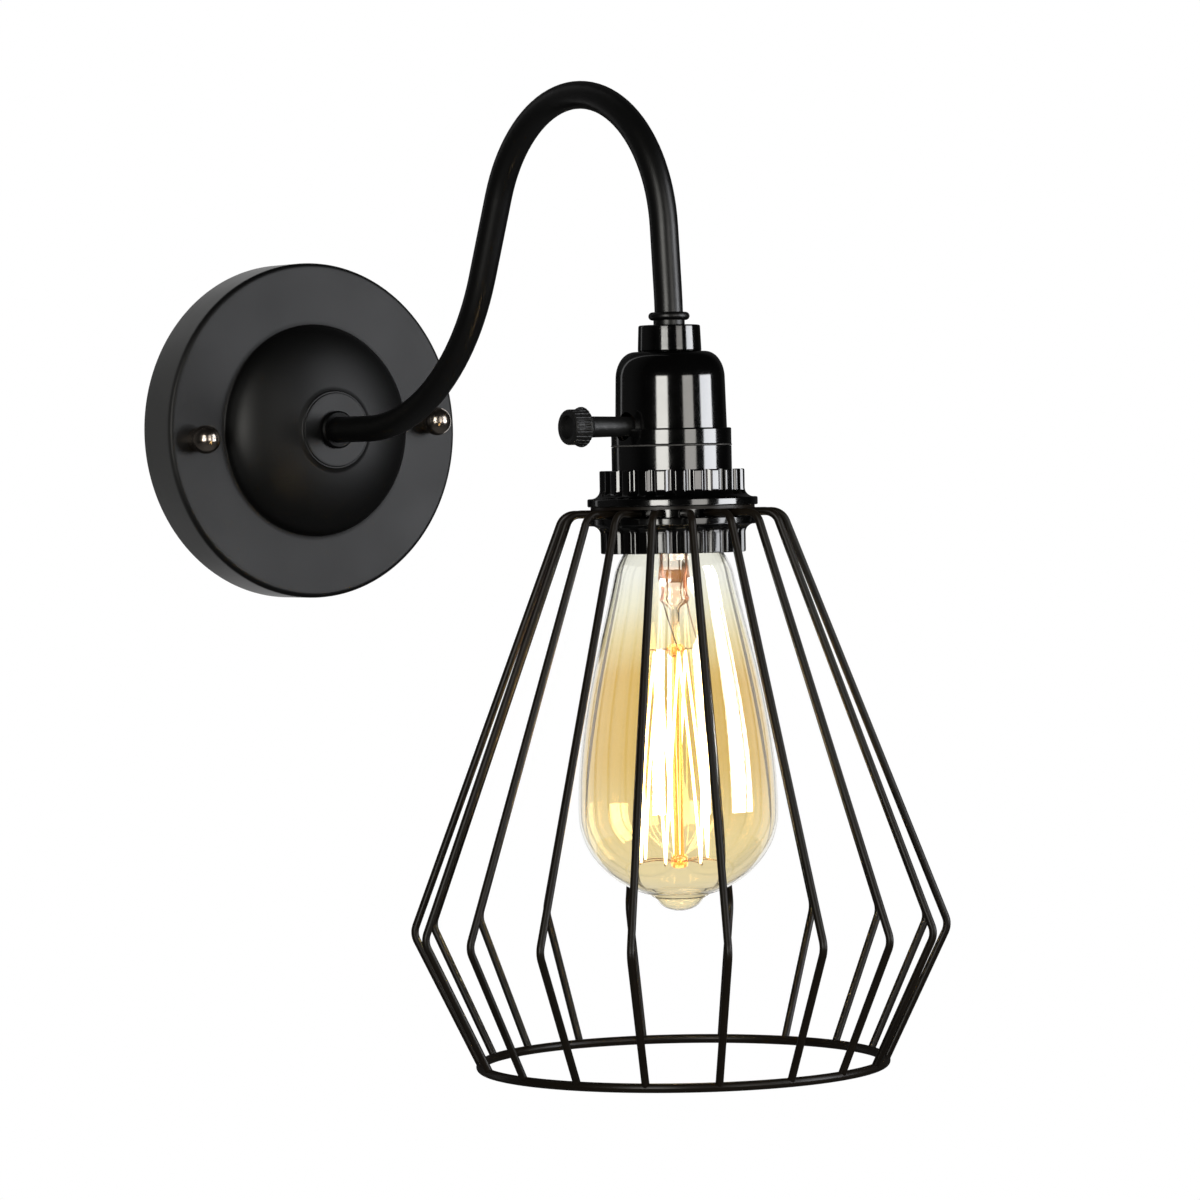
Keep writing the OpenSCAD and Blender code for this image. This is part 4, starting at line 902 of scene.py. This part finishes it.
def strip(name, azimuth, width, radiance, colour, low, high, reach=STRIP_REACH):
    """Soft upright light that faces the lamp, between two heights."""
    wide = 2 * reach * math.tan(math.radians(width / 2))
    data = bpy.data.lights.new(name, "AREA")
    data.shape = "RECTANGLE"
    data.size, data.size_y = wide, high - low
    data.energy = radiance * math.pi * wide * (high - low)
    data.color = colour
    light = bpy.data.objects.new(name, data)
    bpy.context.scene.collection.objects.link(light)
    a = math.radians(azimuth)
    ahead = Vector((math.cos(a), math.sin(a), 0))
    place = LAMP + ahead * reach + UP * ((low + high) / 2)
    across = Vector((-math.sin(a), math.cos(a), 0))
    light.matrix_world = Matrix.Translation(place) @ Matrix(
        (across, UP, across.cross(UP))).transposed().to_4x4()
    light.visible_camera = False
    return light


def linked(name, state, *pieces):
    """A collection that tells a light which pieces it reaches, or leaves out."""
    group = bpy.data.collections.new(name)
    for piece in pieces:
        group.objects.link(piece)
    for member in group.collection_objects:
        member.light_linking.link_state = state
    return group


def made_of(*material_names):
    """The pieces and CAD nodes whose first material is one of these."""
    wanted = [MATERIALS[name] for name in material_names]
    return [piece for piece in bpy.context.scene.objects if piece.type == "MESH"
            and piece.data.materials[0] in wanted]


# Everything is lit by the low part of the strips. The glossy black parts also show their foot,
# and the others their high part. The lamp's glass shows a brighter reflection of each
shiny = made_of("pearl_black", "ring_black")
for side, azimuth, width, radiance, colour, glint_top in STRIPS:
    strip(f"{side}_low", azimuth, width, radiance, colour, STRIP_LOW, STRIP_HIGH)
    upper = strip(f"{side}_high", azimuth, width, radiance * HIGH_SHARE, colour, STRIP_HIGH,
                  STRIP_TOP)
    upper.light_linking.receiver_collection = linked(f"{side}_left_out", "EXCLUDE", *shiny)
    foot = strip(f"{side}_foot", azimuth, width, radiance * FOOT_SHARE, colour, STRIP_FOOT,
                 STRIP_LOW)
    foot.light_linking.receiver_collection = linked(f"{side}_shiny", "INCLUDE", *shiny)
    glint = strip(f"{side}_glint", azimuth, width, GLINT_RADIANCE, (1, 1, 1), GLINT_FOOT,
                  glint_top, STRIP_REACH - GLINT_GAP)
    glint.light_linking.receiver_collection = linked(f"{side}_glass", "INCLUDE", GLASS)

# The pale wall beside the canopy shows in the canopy's side
bounce = strip("wall_bounce", azimuth=142.0, width=60.0, radiance=0.54, colour=(1.0, 1.0, 0.97),
               low=-0.8, high=0.8, reach=0.9)
bounce.light_linking.receiver_collection = linked("canopy_only", "INCLUDE", CANOPY)

# A wide pale light on the wall's side, for the bracket and what else shows from the back
behind = strip("behind", azimuth=72.0, width=62.0, radiance=1.1, colour=(1.0, 1.0, 1.0),
               low=-0.7, high=0.9)
front_pieces = made_of("pearl_black", "ring_black", "arm_paint", "cage_paint", "collar_paint",
                       "knob_plastic")
behind.light_linking.receiver_collection = linked("front_pieces", "EXCLUDE", GLASS, *front_pieces)


ROOM_STRENGTH, WALL_STRENGTH, FILL_STRENGTH = 0.006, 0.03, 0.22
# Upright line that the black parts reflect: azimuth and half its width in degrees
LINE_AZIMUTH, LINE_HALF_WIDTH, LINE_STRENGTH = 108.0, 3.0, 0.5


def studio_world():
    """White for the camera and through glass, and in the sheen of glass toward the wall and the
    right. Other glossy surfaces see a dim room, paler toward the wall and with one upright line,
    and matt ones an even fill."""
    g = Graph("studio", world=True)
    bpy.context.scene.world = g.owner
    path = g.node("ShaderNodeLightPath").outputs
    x, y, _ = g.parts(g.coord)
    wall = g.math("MULTIPLY_ADD", y, 2.0, -0.2, clamp=True)
    azimuth = g.math("MULTIPLY", g.math("ARCTAN2", y, x), 180 / math.pi)
    off = g.math("ABSOLUTE", g.math("SUBTRACT", azimuth, LINE_AZIMUTH))
    line = g.math("MULTIPLY", g.math("LESS_THAN", off, LINE_HALF_WIDTH), LINE_STRENGTH)
    room = g.math("ADD", g.math("MULTIPLY", wall, WALL_STRENGTH),
                  g.math("ADD", ROOM_STRENGTH, line))
    # Only smooth glass gives singular rays. Its sheen is pale toward the wall, y, and the right, x
    pale = g.math("MAXIMUM", g.math("MULTIPLY_ADD", y, 3.0, -0.1, clamp=True),
                  g.math("MULTIPLY_ADD", x, 5.0, -3.8, clamp=True))
    sheen = g.math("MULTIPLY", path["Is Singular Ray"], pale)
    room = g.math("MAXIMUM", room, sheen)
    matt = g.math("MULTIPLY", g.math("SUBTRACT", 1.0, path["Is Glossy Ray"]), FILL_STRENGTH)
    seen = g.math("MULTIPLY", path["Is Glossy Ray"], room)
    white = g.math("MAXIMUM", path["Is Camera Ray"], path["Is Transmission Ray"])
    back = g.node("ShaderNodeBackground")
    g.feed(back.inputs["Color"], (1, 1, 1))
    g.feed(back.inputs["Strength"], g.math("MAXIMUM", white, g.math("ADD", matt, seen)))
    g.feed(g.out.inputs["Surface"], back.outputs[0])


studio_world()


FLOOR_R, FLOOR_Z, FLOOR_Y, FLOOR_STEPS = 2.6, -1.25, -0.2, 96
# Distances from the origin between which the floor fades to white, and how white it starts
FADE_START, FADE_END, FADE_SHARE = 1.3, 2.7, 0.55
# Share of the floor that glossy rays don't see
GLOSSY_DIM = 0.85


def pale_floor():
    """Round pale floor that fades into the white background."""
    verts = [(0, 0, FLOOR_Z)]
    verts += [(FLOOR_R * math.cos(a), FLOOR_Y + FLOOR_R * math.sin(a), FLOOR_Z)
              for a in turns(FLOOR_STEPS)]
    faces = [(0, 1 + k, 1 + (k + 1) % FLOOR_STEPS) for k in range(FLOOR_STEPS)]
    mesh = bpy.data.meshes.new("floor")
    mesh.from_pydata(verts, [], faces)
    floor = bpy.data.objects.new("floor", mesh)
    bpy.context.scene.collection.objects.link(floor)
    g = Graph("pale_floor")
    far = g.node("ShaderNodeVectorMath", operation="LENGTH")
    g.feed(far.inputs[0], g.coord)
    fade = g.between(far.outputs["Value"], FADE_SHARE, 1.0, FADE_START, FADE_END)
    grain = g.noise(60, 3.0)
    shade = g.mix(g.between(grain, 0, 1), (0.8, 0.8, 0.79), (0.83, 0.83, 0.82))
    g.surface(shade, 0.9)
    plain_shader = g.out.inputs["Surface"].links[0].from_socket
    path = g.node("ShaderNodeLightPath").outputs
    seen = g.math("MAXIMUM", path["Is Camera Ray"], path["Is Transmission Ray"])
    # Otherwise the black parts would show it
    dim = g.node("ShaderNodeMixShader")
    g.feed(dim.inputs[0], g.math("MULTIPLY", path["Is Glossy Ray"], GLOSSY_DIM))
    g.feed(dim.inputs[1], plain_shader)
    mixed = g.node("ShaderNodeMixShader")
    g.feed(mixed.inputs[0], g.math("MULTIPLY", seen, fade))
    g.feed(mixed.inputs[1], dim.outputs[0])
    g.feed(mixed.inputs[2], g.node("ShaderNodeEmission").outputs[0])
    g.feed(g.out.inputs["Surface"], mixed.outputs[0])
    mesh.materials.append(g.owner)


pale_floor()

# ---- camera, fitted to the outlines in the photograph ----------------------------------------
LENS_LENGTH, SENSOR_WIDTH = 145.67, 36
CAMERA_PLACE = (-0.91927, -1.50135, -0.01698)
CAMERA_RIGHT = Vector((0.81767, -0.57535, -0.01959))
CAMERA_UP = Vector((0.03114, 0.01023, 0.99946))
camera_data = bpy.data.cameras.new("camera")
camera_data.lens = LENS_LENGTH
camera_data.sensor_width = SENSOR_WIDTH
camera_data.sensor_fit = "HORIZONTAL"
camera = bpy.data.objects.new("camera", camera_data)
bpy.context.scene.collection.objects.link(camera)
camera.matrix_world = Matrix.Translation(CAMERA_PLACE) @ Matrix(
    (CAMERA_RIGHT, CAMERA_UP, CAMERA_RIGHT.cross(CAMERA_UP))).transposed().to_4x4()
bpy.context.scene.camera = camera
bpy.context.scene.view_settings.view_transform = "Standard"
